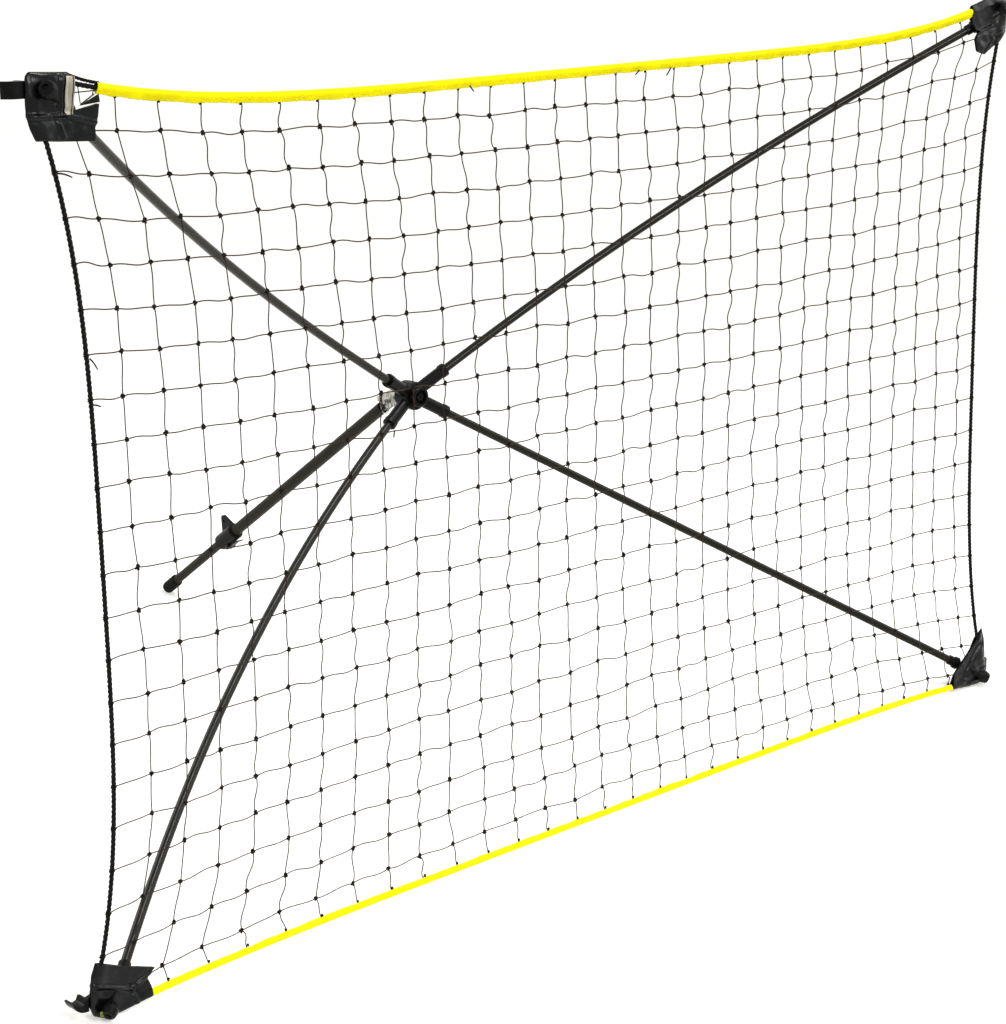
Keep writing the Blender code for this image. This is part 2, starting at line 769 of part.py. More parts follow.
def knob_outside(growth):
    """Outer profile of a knob along its rod's axis, closed at both ends, grown by a clearance."""
    lip = KNOB_LIP
    front = KNOB_START + KNOB_LENGTH
    shoulder = KNOB_START + KNOB_TAPER
    nose = [
        (KNOB_FRONT_DIAMETER / 2 - lip + (lip + growth) * math.sin(math.radians(angle)),
         front - lip + (lip + growth) * math.cos(math.radians(angle)))
        for angle in (80, 40, 0)
    ]
    body = [
        (KNOB_BACK_DIAMETER / 2 + growth, KNOB_START - growth),
        (KNOB_DIAMETER / 2 + growth, shoulder - growth),
        (KNOB_DIAMETER / 2 + growth, shoulder + KNOB_TAPER / 4),
    ]
    return [(0.0, KNOB_START - growth)] + body + nose + [(0.0, nose[-1][1])]


def add_knob(corner, root, materials):
    """Domed knob that closes the neck in front of the pocket."""
    socket = NECK_DIAMETER / 2 + TOUCH_GAP
    floor = KNOB_START + KNOB_SOCKET_DEPTH
    outside = knob_outside(0.0)
    front = outside[-1][1]
    dish = front - KNOB_DISH_DEPTH
    profile = [(0.0, floor), (socket, floor), (socket, outside[0][1])] + outside[1:-1]
    profile += [(KNOB_DISH_RIM / 2, front), (KNOB_DISH_FLOOR / 2, dish), (0.0, dish)]
    mesh = turned(f"end_knob_{corner}", profile, SMALL_STEPS + 4)
    place = frame_at(*rod_end(corner))
    return add_object(f"end_knob_{corner}", mesh, root, materials["moulded_plastic"], place)


# Hub

def add_hub(root, materials):
    """Central block with four rod sockets, a front boss and a recess for the bolt."""
    backward = Matrix.Rotation(math.radians(-90), 4, "X")
    place = Matrix.Translation((0.0, HUB_DEPTH, 0.0)) @ backward
    half = HUB_THICKNESS / 2
    front = -half - HUB_BOSS_HEIGHT
    recess = front + HUB_RECESS_DEPTH
    chamfer = 0.0015
    hole = BOLT_DIAMETER / 2 + TOUCH_GAP
    profile = [
        (hole, recess),
        (HUB_RECESS_DIAMETER / 2, recess),
        (HUB_RECESS_DIAMETER / 2, front),
        (HUB_BOSS_DIAMETER / 2 - chamfer, front),
        (HUB_BOSS_DIAMETER / 2, front + chamfer),
        (HUB_BOSS_DIAMETER / 2, -half),
        (HUB_RADIUS - chamfer, -half),
        (HUB_RADIUS, -half + chamfer),
        (HUB_RADIUS, half),
        (hole, half),
    ]
    hub = add_object(
        "hub_body", turned("hub_body", profile, ROUND_STEPS, closed=True), root, materials["moulded_plastic"], place,
    )
    along = math.cos(math.radians(ROD_ROOT_ANGLE))
    arm_length = ARM_REACH / along
    inner = 0.006
    arm_profile = [
        (0.0, inner),
        (ARM_DIAMETER / 2, inner),
        (ARM_DIAMETER / 2, arm_length - ARM_RIM_LENGTH - 0.0015),
        (ARM_RIM_DIAMETER / 2, arm_length - ARM_RIM_LENGTH),
        (ARM_RIM_DIAMETER / 2, arm_length),
        (0.0, arm_length),
    ]
    arm_mesh = turned("hub_arm", arm_profile, SMALL_STEPS + 4)
    socket_radius = ROD_DIAMETER / 2 + RUNNING_GAP
    socket_floor = ARM_SOCKET_FLOOR / along
    socket_mesh = rod_shape("hub_socket", socket_radius, socket_floor, arm_length + 0.005, SMALL_STEPS)
    bolt_way = rod_shape("hub_bolt_way", hole, recess - 0.001, half + 0.001, SMALL_STEPS)
    for corner in CORNERS:
        arm_place = frame_at((0.0, HUB_DEPTH, 0.0), rod_direction(corner, BOW_START))
        joined(hub, add_object(f"arm_{corner}", arm_mesh, root, None, arm_place))
    for corner in CORNERS:
        arm_place = frame_at((0.0, HUB_DEPTH, 0.0), rod_direction(corner, BOW_START))
        cut(hub, add_object(f"socket_{corner}", socket_mesh, root, None, arm_place))
    cut(hub, add_object("way_of_hub_bolt", bolt_way, root, None, place))
    return hub


HUB_FRONT = HUB_DEPTH - HUB_THICKNESS / 2 - HUB_BOSS_HEIGHT
HUB_BACK = HUB_DEPTH + HUB_THICKNESS / 2
BRACKET_FACE = HUB_BACK + TOUCH_GAP
NUT_FACE = BRACKET_FACE + BRACKET_PLATE + TOUCH_GAP + WASHER_THICKNESS + TOUCH_GAP
LEG_PIN_Y = BRACKET_FACE + LEG_PIN_SETBACK
LEG_PIN_Z = -LEG_PIN_DROP


def add_hub_fasteners(root, materials):
    """Bolt from the front recess, with its washer and nut inside the bracket."""
    backward = Matrix.Rotation(math.radians(-90), 4, "X")
    head_face = HUB_FRONT + HUB_RECESS_DEPTH - TOUCH_GAP
    length = NUT_FACE + NUT_HEIGHT + 0.001 - head_face
    bolt_place = Matrix.Translation((0.0, head_face, 0.0)) @ backward
    bolt = add_object(
        "hub_bolt",
        rod_shape("hub_bolt", BOLT_DIAMETER / 2, -0.0005, length, SMALL_STEPS),
        root,
        materials["zinc_steel"],
        bolt_place,
    )
    head_mesh = extruded("hub_bolt_head", polygon(BOLT_HEAD_FLATS), -BOLT_HEAD_HEIGHT, 0.0, smooth=False)
    head = add_object("head_of_hub_bolt", head_mesh, root, None, bolt_place)
    joined(bolt, head)
    washer_start = BRACKET_FACE + BRACKET_PLATE + TOUCH_GAP
    bore = BOLT_DIAMETER / 2 + TOUCH_GAP
    add_object(
        "hub_washer",
        tube_shape("hub_washer", WASHER_DIAMETER / 2 - 0.0005, bore, 0.0, WASHER_THICKNESS, SMALL_STEPS + 4),
        root,
        materials["zinc_steel"],
        Matrix.Translation((0.0, washer_start, 0.0)) @ backward,
    )
    nut_place = Matrix.Translation((0.0, NUT_FACE, 0.0)) @ backward
    nut = add_object(
        "hub_nut",
        extruded("hub_nut", polygon(BOLT_HEAD_FLATS), 0.0, NUT_HEIGHT, smooth=False),
        root,
        materials["zinc_steel"],
        nut_place,
    )
    way = rod_shape("nut_bore", bore, -0.001, NUT_HEIGHT + 0.001, SMALL_STEPS)
    cut(nut, add_object("bore_of_hub_nut", way, root, None, nut_place))


# Leg: the leg's own frame has z along the leg, x to the right and y upward from the leg

def leg_frame(distance=0.0):
    """Frame on the leg's axis, at a distance from the hinge pin."""
    angle = math.radians(LEG_ANGLE)
    axis = Vector((0.0, math.cos(angle), -math.sin(angle)))
    above = Vector((0.0, math.sin(angle), math.cos(angle)))
    turn = Matrix((Vector((-1.0, 0.0, 0.0)), above, axis)).transposed().to_4x4()
    return Matrix.Translation(Vector((0.0, LEG_PIN_Y, LEG_PIN_Z)) + axis * distance) @ turn


def leg_point(distance, above):
    """Point beside the leg's axis, in the plane through the hub, as y and z."""
    place = leg_frame() @ Vector((0.0, above, distance))
    return place.y, place.z


def across_frame(y, z):
    """Frame whose z runs to the right, for pins that cross the bracket or the collar."""
    return Matrix.Translation((0.0, y, z)) @ Matrix.Rotation(math.radians(90), 4, "Y")


STOP_PIN_RISE = TONGUE_HEIGHT / 2 + TOUCH_GAP + STOP_PIN_DIAMETER / 2


def bracket_outline():
    """Side plate of the bracket in y and z, from its root to its rounded nose."""
    root_y = BRACKET_FACE
    high = BRACKET_HEIGHT / 2
    stop_y, stop_z = leg_point(STOP_PIN_REACH, STOP_PIN_RISE)
    nose = BRACKET_NOSE_RADIUS
    ear = STOP_PIN_DIAMETER / 2 + 0.0028
    points = [(root_y, high - 0.001), (root_y, -high)]
    points += arc((LEG_PIN_Y, LEG_PIN_Z), nose, -110, -40)
    points += arc((stop_y, stop_z), ear, -25, 80)
    return points


def add_bracket(root, materials):
    """Folded steel bracket on the back of the hub, which carries the leg."""
    inside = BRACKET_INSIDE / 2
    outside = inside + BRACKET_PLATE
    high = BRACKET_HEIGHT / 2
    base_outline = [(-outside, -high), (outside, -high), (outside, high), (-outside, high)]
    base_place = Matrix.Translation((0.0, BRACKET_FACE, 0.0)) @ Matrix.Rotation(math.radians(-90), 4, "X")
    bracket = add_object(
        "leg_bracket",
        extruded("leg_bracket", base_outline, 0.0, BRACKET_PLATE, smooth=False),
        root,
        materials["zinc_steel"],
        base_place,
    )
    # The side plates' outline lies in y and z, so the extrusion runs along x
    upright = Matrix(((0, 0, 1, 0), (1, 0, 0, 0), (0, 1, 0, 0), (0, 0, 0, 1)))
    for name, start in (("left", -outside), ("right", inside)):
        plate_mesh = extruded(f"bracket_plate_{name}", bracket_outline(), start, start + BRACKET_PLATE)
        joined(bracket, add_object(f"plate_{name}_of_bracket", plate_mesh, root, None, upright))
    reach = outside + 0.002
    way = rod_shape("bolt_way", BOLT_DIAMETER / 2 + TOUCH_GAP, -0.001, BRACKET_PLATE + 0.001, SMALL_STEPS)
    cut(bracket, add_object("bolt_way_of_bracket", way, root, None, base_place))
    stop = leg_point(STOP_PIN_REACH, STOP_PIN_RISE)
    ways = (("pin_way", (LEG_PIN_Y, LEG_PIN_Z), PIN_DIAMETER), ("stop_way", stop, STOP_PIN_DIAMETER))
    for name, (y, z), diameter in ways:
        way = rod_shape(name, diameter / 2 + TOUCH_GAP, -reach, reach, SMALL_STEPS)
        cut(bracket, add_object(f"{name}_of_bracket", way, root, None, across_frame(y, z)))
    return bracket


def add_pins(root, materials):
    """Clevis pin with its ring, and the pin that stops the leg at its open angle."""
    outside = BRACKET_INSIDE / 2 + BRACKET_PLATE
    head = outside + TOUCH_GAP
    tail = -outside - PIN_TAIL
    chamfer = 0.0006
    profile = [
        (0.0, tail),
        (PIN_DIAMETER / 2 - chamfer, tail),
        (PIN_DIAMETER / 2, tail + chamfer),
        (PIN_DIAMETER / 2, head),
        (PIN_HEAD_DIAMETER / 2, head),
        (PIN_HEAD_DIAMETER / 2, head + PIN_HEAD_HEIGHT),
        (0.0, head + PIN_HEAD_HEIGHT),
    ]
    pin = add_object(
        "leg_pin",
        turned("leg_pin", profile, SMALL_STEPS + 4),
        root,
        materials["zinc_steel"],
        across_frame(LEG_PIN_Y, LEG_PIN_Z),
    )
    hole_x = tail + PIN_TAIL / 2
    ring_way = rod_shape("ring_way", RING_HOLE / 2, -PIN_DIAMETER, PIN_DIAMETER, SMALL_STEPS)
    way_place = Matrix.Translation((hole_x, LEG_PIN_Y, LEG_PIN_Z)) @ Matrix.Rotation(math.radians(-90), 4, "X")
    cut(pin, add_object("ring_way_of_pin", ring_way, root, None, way_place))
    wire = RING_WIRE / 2
    ring_profile = [
        (RING_RADIUS + wire * math.cos(2 * math.pi * side / 8), wire * math.sin(2 * math.pi * side / 8))
        for side in range(8)
    ]
    ring_mesh = turned("split_ring", ring_profile, 24, closed=True)
    ring_mesh.transform(Matrix.Translation((0.0, 0.0, 0.0)) @ Matrix.Rotation(math.radians(90), 4, "Y"))
    ring_mesh.transform(Matrix.Translation((0.0, 0.0, -RING_RADIUS)))
    ring_place = Matrix.Translation((hole_x, LEG_PIN_Y, LEG_PIN_Z))
    add_object("split_ring", ring_mesh, root, materials["zinc_steel"], ring_place)
    stop_y, stop_z = leg_point(STOP_PIN_REACH, STOP_PIN_RISE)
    rivet = PIN_HEAD_HEIGHT / 2
    radius = STOP_PIN_DIAMETER / 2
    stop_profile = [
        (0.0, -head - rivet),
        (radius * 1.5, -head - rivet),
        (radius * 1.5, -head),
        (radius, -head),
        (radius, head),
        (radius * 1.5, head),
        (radius * 1.5, head + rivet),
        (0.0, head + rivet),
    ]
    stop_mesh = turned("stop_pin", stop_profile, SMALL_STEPS)
    add_object("stop_pin", stop_mesh, root, materials["zinc_steel"], across_frame(stop_y, stop_z))


def add_leg_plug(root, materials):
    """Plug in the upper tube, with the flat tongue that turns on the pin."""
    flange_start = UPPER_TUBE_START - PLUG_FLANGE - TOUCH_GAP
    radius = UPPER_TUBE_BORE / 2 - RUNNING_GAP
    profile = [
        (0.0, flange_start),
        (UPPER_TUBE_DIAMETER / 2, flange_start),
        (UPPER_TUBE_DIAMETER / 2, flange_start + PLUG_FLANGE),
        (radius, flange_start + PLUG_FLANGE),
        (radius, UPPER_TUBE_START + PLUG_LENGTH),
        (0.0, UPPER_TUBE_START + PLUG_LENGTH),
    ]
    plug = add_object(
        "leg_top_plug", turned("leg_top_plug", profile), root, materials["moulded_plastic"], leg_frame(),
    )
    half = TONGUE_HEIGHT / 2
    outline = arc((0.0, 0.0), half, 180, 360, 10) + [(half, flange_start + 0.001), (-half, flange_start + 0.001)]
    tongue_mesh = extruded("leg_tongue", outline, -TONGUE_THICKNESS / 2, TONGUE_THICKNESS / 2)
    # The tongue's outline lies across and along the leg, so the extrusion runs along x
    lay = Matrix(((0, 0, 1, 0), (1, 0, 0, 0), (0, 1, 0, 0), (0, 0, 0, 1)))
    joined(plug, add_object("tongue_of_plug", tongue_mesh, root, None, leg_frame() @ lay))
    way = rod_shape("plug_pin_way", PIN_DIAMETER / 2 + TOUCH_GAP, -TONGUE_THICKNESS, TONGUE_THICKNESS, SMALL_STEPS)
    cut(plug, add_object("pin_way_of_plug", way, root, None, across_frame(LEG_PIN_Y, LEG_PIN_Z)))
    return plug


UPPER_TUBE_END = UPPER_TUBE_START + UPPER_TUBE_LENGTH
LOWER_TUBE_END = LEG_LENGTH - FOOT_SOLE - TOUCH_GAP
LOWER_TUBE_START = LOWER_TUBE_END - LOWER_TUBE_LENGTH
COLLAR_START = UPPER_TUBE_END + TOUCH_GAP - COLLAR_GRIP
COLLAR_END = COLLAR_START + COLLAR_LENGTH
LEVER_PIVOT = COLLAR_END - LEVER_PIN_SETBACK


def add_tubes(root, materials):
    """Upper tube, lower tube and the guide on the lower tube's hidden end."""
    add_object(
        "leg_upper_tube",
        tube_shape("leg_upper_tube", UPPER_TUBE_DIAMETER / 2, UPPER_TUBE_BORE / 2, UPPER_TUBE_START, UPPER_TUBE_END),
        root,
        materials["tube_enamel"],
        leg_frame(),
    )
    add_object(
        "leg_lower_tube",
        tube_shape("leg_lower_tube", LOWER_TUBE_DIAMETER / 2, LOWER_TUBE_BORE / 2, LOWER_TUBE_START, LOWER_TUBE_END),
        root,
        materials["tube_enamel"],
        leg_frame(),
    )
    rim = UPPER_TUBE_BORE / 2 - TOUCH_GAP
    stem = LOWER_TUBE_BORE / 2 - RUNNING_GAP
    rim_height = 0.003
    rim_end = LOWER_TUBE_START - TOUCH_GAP
    profile = [
        (0.0, rim_end - rim_height),
        (rim, rim_end - rim_height),
        (rim, rim_end),
        (stem, rim_end),
        (stem, rim_end + GUIDE_LENGTH),
        (0.0, rim_end + GUIDE_LENGTH),
    ]
    guide_mesh = turned("tube_guide", profile, SMALL_STEPS + 4)
    add_object("tube_guide", guide_mesh, root, materials["moulded_plastic"], leg_frame())


def add_foot(root, materials):
    """Rubber cap on the lower tube, rounded at the ground."""
    radius = FOOT_DIAMETER / 2
    bore = LOWER_TUBE_DIAMETER / 2 + TOUCH_GAP
    top = LEG_LENGTH - FOOT_LENGTH
    floor = LEG_LENGTH - FOOT_SOLE
    nose = 0.007
    dome = [
        (radius - nose + nose * math.cos(math.radians(angle)),
         LEG_LENGTH - nose + nose * math.sin(math.radians(angle)))
        for angle in (0, 22.5, 45, 67.5, 90)
    ]
    lip = 0.0012
    profile = [(0.0, floor), (bore, floor), (bore, top), (radius - lip, top), (radius, top + lip)]
    mesh = turned("foot_cap", profile + dome + [(0.0, LEG_LENGTH)])
    return add_object("foot_cap", mesh, root, materials["foot_rubber"], leg_frame())


def add_collar(root, materials):
    """Clamp collar: a stepped ring with an eyelet above and two cheeks for the lever below."""
    radius = COLLAR_DIAMETER / 2
    upper = UPPER_TUBE_DIAMETER / 2 + TOUCH_GAP
    lower = LOWER_TUBE_DIAMETER / 2 + RUNNING_GAP
    step = UPPER_TUBE_END + TOUCH_GAP
    chamfer = 0.002
    profile = [
        (radius - chamfer, COLLAR_START),
        (radius, COLLAR_START + chamfer),
        (radius, COLLAR_END - chamfer),
        (radius - chamfer, COLLAR_END),
        (lower, COLLAR_END),
        (lower, step),
        (upper, step),
        (upper, COLLAR_START),
    ]
    collar = add_object(
        "clamp_collar", turned("clamp_collar", profile, closed=True), root, materials["moulded_plastic"], leg_frame(),
    )
    lay = Matrix(((0, 0, 1, 0), (1, 0, 0, 0), (0, 1, 0, 0), (0, 0, 0, 1)))
    wall = (radius + upper) / 2
    middle = COLLAR_START + chamfer / 2 + EYELET_LENGTH / 2
    crown = wall + EYELET_HEIGHT
    round_off = 0.004
    half = EYELET_LENGTH / 2
    eyelet_outline = [(wall, middle - half)]
    eyelet_outline += [
        (crown - round_off + x, middle + y) for x, y in arc((0.0, 0.0), round_off, -60, 60)
    ]
    eyelet_outline += [(wall, middle + half)]
    eyelet_mesh = extruded("eyelet", eyelet_outline, -EYELET_THICKNESS / 2, EYELET_THICKNESS / 2)
    joined(collar, add_object("eyelet_of_collar", eyelet_mesh, root, None, leg_frame() @ lay))
    cheek = CHEEK_LENGTH / 2
    seat = upper + 2 * TOUCH_GAP
    cheek_outline = [(-seat, LEVER_PIVOT - cheek), (-seat, LEVER_PIVOT + cheek * 0.9)]
    cheek_outline += arc((-CAM_DROP, LEVER_PIVOT), CHEEK_ROUND, 90, 270)
    inside = LEVER_WIDTH / 2 + TOUCH_GAP
    for name, start in (("left", -inside - CHEEK_THICKNESS), ("right", inside)):
        cheek_mesh = extruded(f"cheek_{name}", cheek_outline, start, start + CHEEK_THICKNESS)
        joined(collar, add_object(f"cheek_{name}_of_collar", cheek_mesh, root, None, leg_frame() @ lay))
    y, z = leg_point(LEVER_PIVOT, -CAM_DROP)
    window = rod_shape("cam_window", CAM_REACH + TOUCH_GAP, -inside, inside)
    cut(collar, add_object("cam_window_of_collar", window, root, None, across_frame(y, z)))
    y_eye, z_eye = leg_point(middle, crown - EYELET_HOLE_DEPTH)
    ways = (("eyelet_way", (y_eye, z_eye), EYELET_HOLE), ("pin_way", (y, z), LEVER_PIN_DIAMETER + 2 * TOUCH_GAP))
    for name, (way_y, way_z), diameter in ways:
        way = rod_shape(name, diameter / 2, -radius, radius, SMALL_STEPS)
        cut(collar, add_object(f"{name}_of_collar", way, root, None, across_frame(way_y, way_z)))
    return collar


# The cam just clears the lower tube when the lever is closed, and its far side swings inside the window
CAM_REACH = CAM_DROP - LOWER_TUBE_DIAMETER / 2 - TOUCH_GAP
CAM_RADIUS = CAM_REACH - CAM_OFFSET


def add_lever(root, materials):
    """Cam lever, closed along the underside of the leg, with its origin on its pin."""
    cam = arc((CAM_OFFSET, 0.0), CAM_RADIUS, -95, 115, 14)
    top = -(COLLAR_DIAMETER / 2 + TOUCH_GAP) + CAM_DROP
    bottom = top - LEVER_THICKNESS
    tip = -LEVER_LENGTH
    handle = [
        (bottom - LEVER_HEEL, CAM_RADIUS * 0.7),
        (bottom, tip * 0.35),
        (bottom, tip * 0.6),
        (bottom - LEVER_TIP_FLARE, tip),
        (bottom - LEVER_TIP_FLARE + LEVER_THICKNESS / 2, tip),
        (top, tip * 0.6),
        (top, -CAM_REACH * 0.9),
    ]
    outline = cam + handle
    mesh = extruded("cam_lever", outline, -LEVER_WIDTH / 2, LEVER_WIDTH / 2)
    lay = Matrix(((0, 0, 1, 0), (1, 0, 0, 0), (0, 1, 0, 0), (0, 0, 0, 1)))
    place = leg_frame(LEVER_PIVOT) @ Matrix.Translation((0.0, -CAM_DROP, 0.0))
    mesh.transform(lay)
    lever = add_object("cam_lever", mesh, root, materials["moulded_plastic"], place)
    y, z = leg_point(LEVER_PIVOT, -CAM_DROP)
    way = rod_shape("lever_way", LEVER_PIN_DIAMETER / 2 + TOUCH_GAP, -LEVER_WIDTH, LEVER_WIDTH, SMALL_STEPS)
    cut(lever, add_object("pin_way_of_lever", way, root, None, across_frame(y, z)))
    reach = LEVER_WIDTH / 2 + TOUCH_GAP + CHEEK_THICKNESS
    pin_mesh = rod_shape("lever_pin", LEVER_PIN_DIAMETER / 2, -reach, reach, SMALL_STEPS)
    add_object("lever_pin", pin_mesh, root, materials["zinc_steel"], across_frame(y, z))
    return lever


# Whole part

def lowest(points, lean):
    """Height of the lowest of some points of the net's frame, at a lean in radians."""
    return float((points[:, 2] * math.cos(lean) - points[:, 1] * math.sin(lean)).min())


def evaluated_points(names):
    """Vertices of the named objects as they are built, in the net's frame."""
    graph = bpy.context.evaluated_depsgraph_get()
    clouds = []
    for name in names:
        thing = bpy.data.objects[name].evaluated_get(graph)
        mesh = thing.to_mesh()
        place = np.array(thing.matrix_world)
        points = np.array([vertex.co[:] for vertex in mesh.vertices])
        clouds.append(points @ place[:3, :3].T + place[:3, 3])
        thing.to_mesh_clear()
    return np.concatenate(clouds)


def stand_on_ground(root):
    """Lean the part back until the lower corners and the foot are level, then set it on z = 0."""
    bpy.context.view_layer.update()
    pieces = [
        thing.name for thing in bpy.data.objects
        if thing.type in {"MESH", "CURVE"} and not thing.hide_render
    ]
    front = evaluated_points([name for name in pieces if name.endswith(("bottom_left", "bottom_right"))])
    foot = evaluated_points(["foot_cap"])
    low, high = 0.0, math.radians(40)
    for _ in range(50):
        lean = (low + high) / 2
        if lowest(foot, lean) > lowest(front, lean):
            low = lean
        else:
            high = lean
    everything = evaluated_points(pieces)
    depth = everything[:, 1] * math.cos(lean) + everything[:, 2] * math.sin(lean)
    root.rotation_euler = (-lean, 0.0, 0.0)
    root.location = (0.0, -float(depth.min() + depth.max()) / 2, -lowest(everything, lean))
    bpy.context.view_layer.update()


def build():
    clear_scene()
    root = bpy.data.objects.new("net_frame", None)
    bpy.context.collection.objects.link(root)
    materials = make_materials()
    add_net(root, materials)
    add_rope(root, materials)
    add_band("top_band", TOP, root, materials)
    add_band("bottom_band", BOTTOM, root, materials)
    for corner in CORNERS:
        add_pocket(corner, root, materials)
        add_rod(corner, root, materials)
        add_hook(corner, root, materials)
        add_knob(corner, root, materials)
    add_hub(root, materials)
    add_hub_fasteners(root, materials)
    add_bracket(root, materials)
    add_pins(root, materials)
    add_leg_plug(root, materials)
    add_tubes(root, materials)
    add_collar(root, materials)
    add_lever(root, materials)
    add_foot(root, materials)
    stand_on_ground(root)


build()
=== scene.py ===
"""Rebound net: the looks of a knotted training net stretched between four bowed rods on a prop leg.

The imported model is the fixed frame. Everything soft is worked out here as surfaces, in the net's
own frame: x along the net, y back from the player, z up in the net's plane, and the origin where
the hub's axis meets that plane. in_room() then leans it back as the model stands.
Sizes are in metres unless a name or a comment says millimetres.
"""

import math

import bmesh
import bpy
import numpy as np
from bpy.props import FloatProperty, FloatVectorProperty, IntProperty, PointerProperty
from mathutils import Matrix, Vector
from numpy.polynomial import polynomial


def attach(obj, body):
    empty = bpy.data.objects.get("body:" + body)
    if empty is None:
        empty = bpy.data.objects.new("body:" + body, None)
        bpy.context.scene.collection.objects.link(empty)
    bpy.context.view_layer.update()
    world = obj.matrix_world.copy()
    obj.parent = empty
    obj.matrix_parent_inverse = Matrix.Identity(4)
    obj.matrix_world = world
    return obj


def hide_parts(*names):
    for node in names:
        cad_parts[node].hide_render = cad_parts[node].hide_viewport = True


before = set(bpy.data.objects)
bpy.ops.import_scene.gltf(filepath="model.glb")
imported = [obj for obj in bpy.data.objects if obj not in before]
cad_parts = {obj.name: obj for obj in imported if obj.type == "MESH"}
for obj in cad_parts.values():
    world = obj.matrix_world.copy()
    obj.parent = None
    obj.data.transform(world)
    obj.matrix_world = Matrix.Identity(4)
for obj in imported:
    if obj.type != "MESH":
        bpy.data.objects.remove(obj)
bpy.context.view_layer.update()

bl_info = {
    "name": "Rebound net",
    "version": (1, 0, 0),
    "blender": (4, 5, 0),
    "location": "View3D > Sidebar > Rebound net",
    "description": "Dresses the packed rebound net with twine, rope, tape, vinyl and finishes",
    "category": "Add Mesh",
}

# The frame of the picture
SENSOR = 36.0
LENS = 84.9
CAMERA_PLACE = (-2.0344, -2.0327, 0.6647)
CAMERA_RIGHT = (0.7344, -0.6784, -0.0197)
CAMERA_DOWN = (-0.1867, -0.1740, -0.9669)

# The rope's route, as the model has it
RIGHT, LEFT = 1, -1
TOP, BOTTOM = 1, -1
NET_DROP = 0.0212
SIDE_MIDDLE = 0.733
SIDE_POWER = 3.6
BAND_MIDDLE = {TOP: 0.4433, BOTTOM: 0.4857}
BAND_POWER = 5
ROPE_CORNER_X = 0.766
ROPE_CORNER_Z = {TOP: 0.4729, BOTTOM: 0.4863}
ROPE_CORNER_RADIUS = 0.014
ROPE_RADIUS = 0.0025
CORNER_X = 0.751
CORNER_Z = {TOP: 0.4643, BOTTOM: 0.4805}
SLEEVE_END = 0.7055


# Small sums

def linear(code):
    """Scene-linear colour of an sRGB hex code such as '#1a2b3c'."""
    channels = np.array([int(code[i:i + 2], 16) for i in (1, 3, 5)]) / 255.0
    light = np.where(channels <= 0.04045, channels / 12.92, ((channels + 0.055) / 1.055) ** 2.4)
    return (*light.tolist(), 1.0)


def unit(vectors):
    return vectors / np.linalg.norm(vectors, axis=-1, keepdims=True)


def spaced(route, step, closed):
    """Points an equal distance apart along a route of straight pieces, and the distance between them."""
    run = np.vstack([route, route[:1]]) if closed else np.asarray(route, float)
    ends = np.concatenate([[0.0], np.cumsum(np.linalg.norm(np.diff(run, axis=0), axis=1))])
    count = max(int(round(ends[-1] / step)), 2)
    marks = np.linspace(0.0, ends[-1], count + 1)
    if closed:
        marks = marks[:-1]
    points = np.stack([np.interp(marks, ends, run[:, axis]) for axis in range(run.shape[1])], axis=1)
    return points, ends[-1] / count


def distance_to(points, route):
    """Distance from each point to the nearest of a route's straight pieces, in two dimensions."""
    start, end = route[:-1], route[1:]
    along = end - start
    share = ((points[:, None] - start) * along).sum(-1) / (along ** 2).sum(-1)
    nearest = start + np.clip(share, 0.0, 1.0)[..., None] * along
    return np.linalg.norm(points[:, None] - nearest, axis=-1).min(axis=1)


def bell(distance, width):
    """One at no distance, falling away smoothly over the width."""
    return np.exp(-(distance / width) ** 2)


def straight(start, end, count):
    """Points evenly spaced from one point to another."""
    share = np.linspace(0.0, 1.0, count)[:, None]
    return np.array(start) * (1 - share) + np.array(end) * share


def at_depth(flat, depth=0.0):
    """Points of the net's frame from x and z, at a depth y."""
    return np.stack([flat[..., 0], np.broadcast_to(depth, flat.shape[:-1]), flat[..., 1]], axis=-1)


# The net's frame in the room, read from the model's own rope, which lies in the net's plane

def node_points(name):
    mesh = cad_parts[name].data
    points = np.empty(len(mesh.vertices) * 3)
    mesh.vertices.foreach_get("co", points)
    return points.reshape(-1, 3)


def net_placement():
    """Turn and origin: the rope's points scatter least across the net, and its top is a known height."""
    points = node_points("border_rope")
    spread = points - points.mean(axis=0)
    _, axes = np.linalg.eigh(spread.T @ spread)
    across = axes[:, 0] * np.sign(axes[1, 0])
    turn = np.array(Matrix.Rotation(math.atan2(across[2], across[1]), 3, "X"))
    local = points @ turn
    top = ROPE_CORNER_Z[TOP] + ROPE_CORNER_RADIUS + ROPE_RADIUS
    origin = np.array([0.0, (local[:, 1].min() + local[:, 1].max()) / 2, local[:, 2].max() - top])
    return turn, turn @ origin


NET_TURN, NET_ORIGIN = net_placement()


def in_room(points):
    """Points of the net's frame as they stand in the room."""
    return points @ NET_TURN.T + NET_ORIGIN


def in_net(points):
    """Points of the room as they stand in the net's frame."""
    return (points - NET_ORIGIN) @ NET_TURN


# The rope's route

def edge_run(middle, centre_across, centre_along, power):
    """Tangent angle, length and sag of a drawn-in edge, from its middle to the arc at its corner."""
    angle = 0.0
    for _ in range(12):
        sag = centre_across + ROPE_CORNER_RADIUS * math.cos(angle) - middle
        length = centre_along - ROPE_CORNER_RADIUS * math.sin(angle)
        angle = math.atan(power * sag / length)
    return angle, length, sag


def side_run(level):
    return edge_run(SIDE_MIDDLE, ROPE_CORNER_X, ROPE_CORNER_Z[level] + level * NET_DROP, SIDE_POWER)


def band_run(level):
    return edge_run(BAND_MIDDLE[level], ROPE_CORNER_Z[level], ROPE_CORNER_X, BAND_POWER)


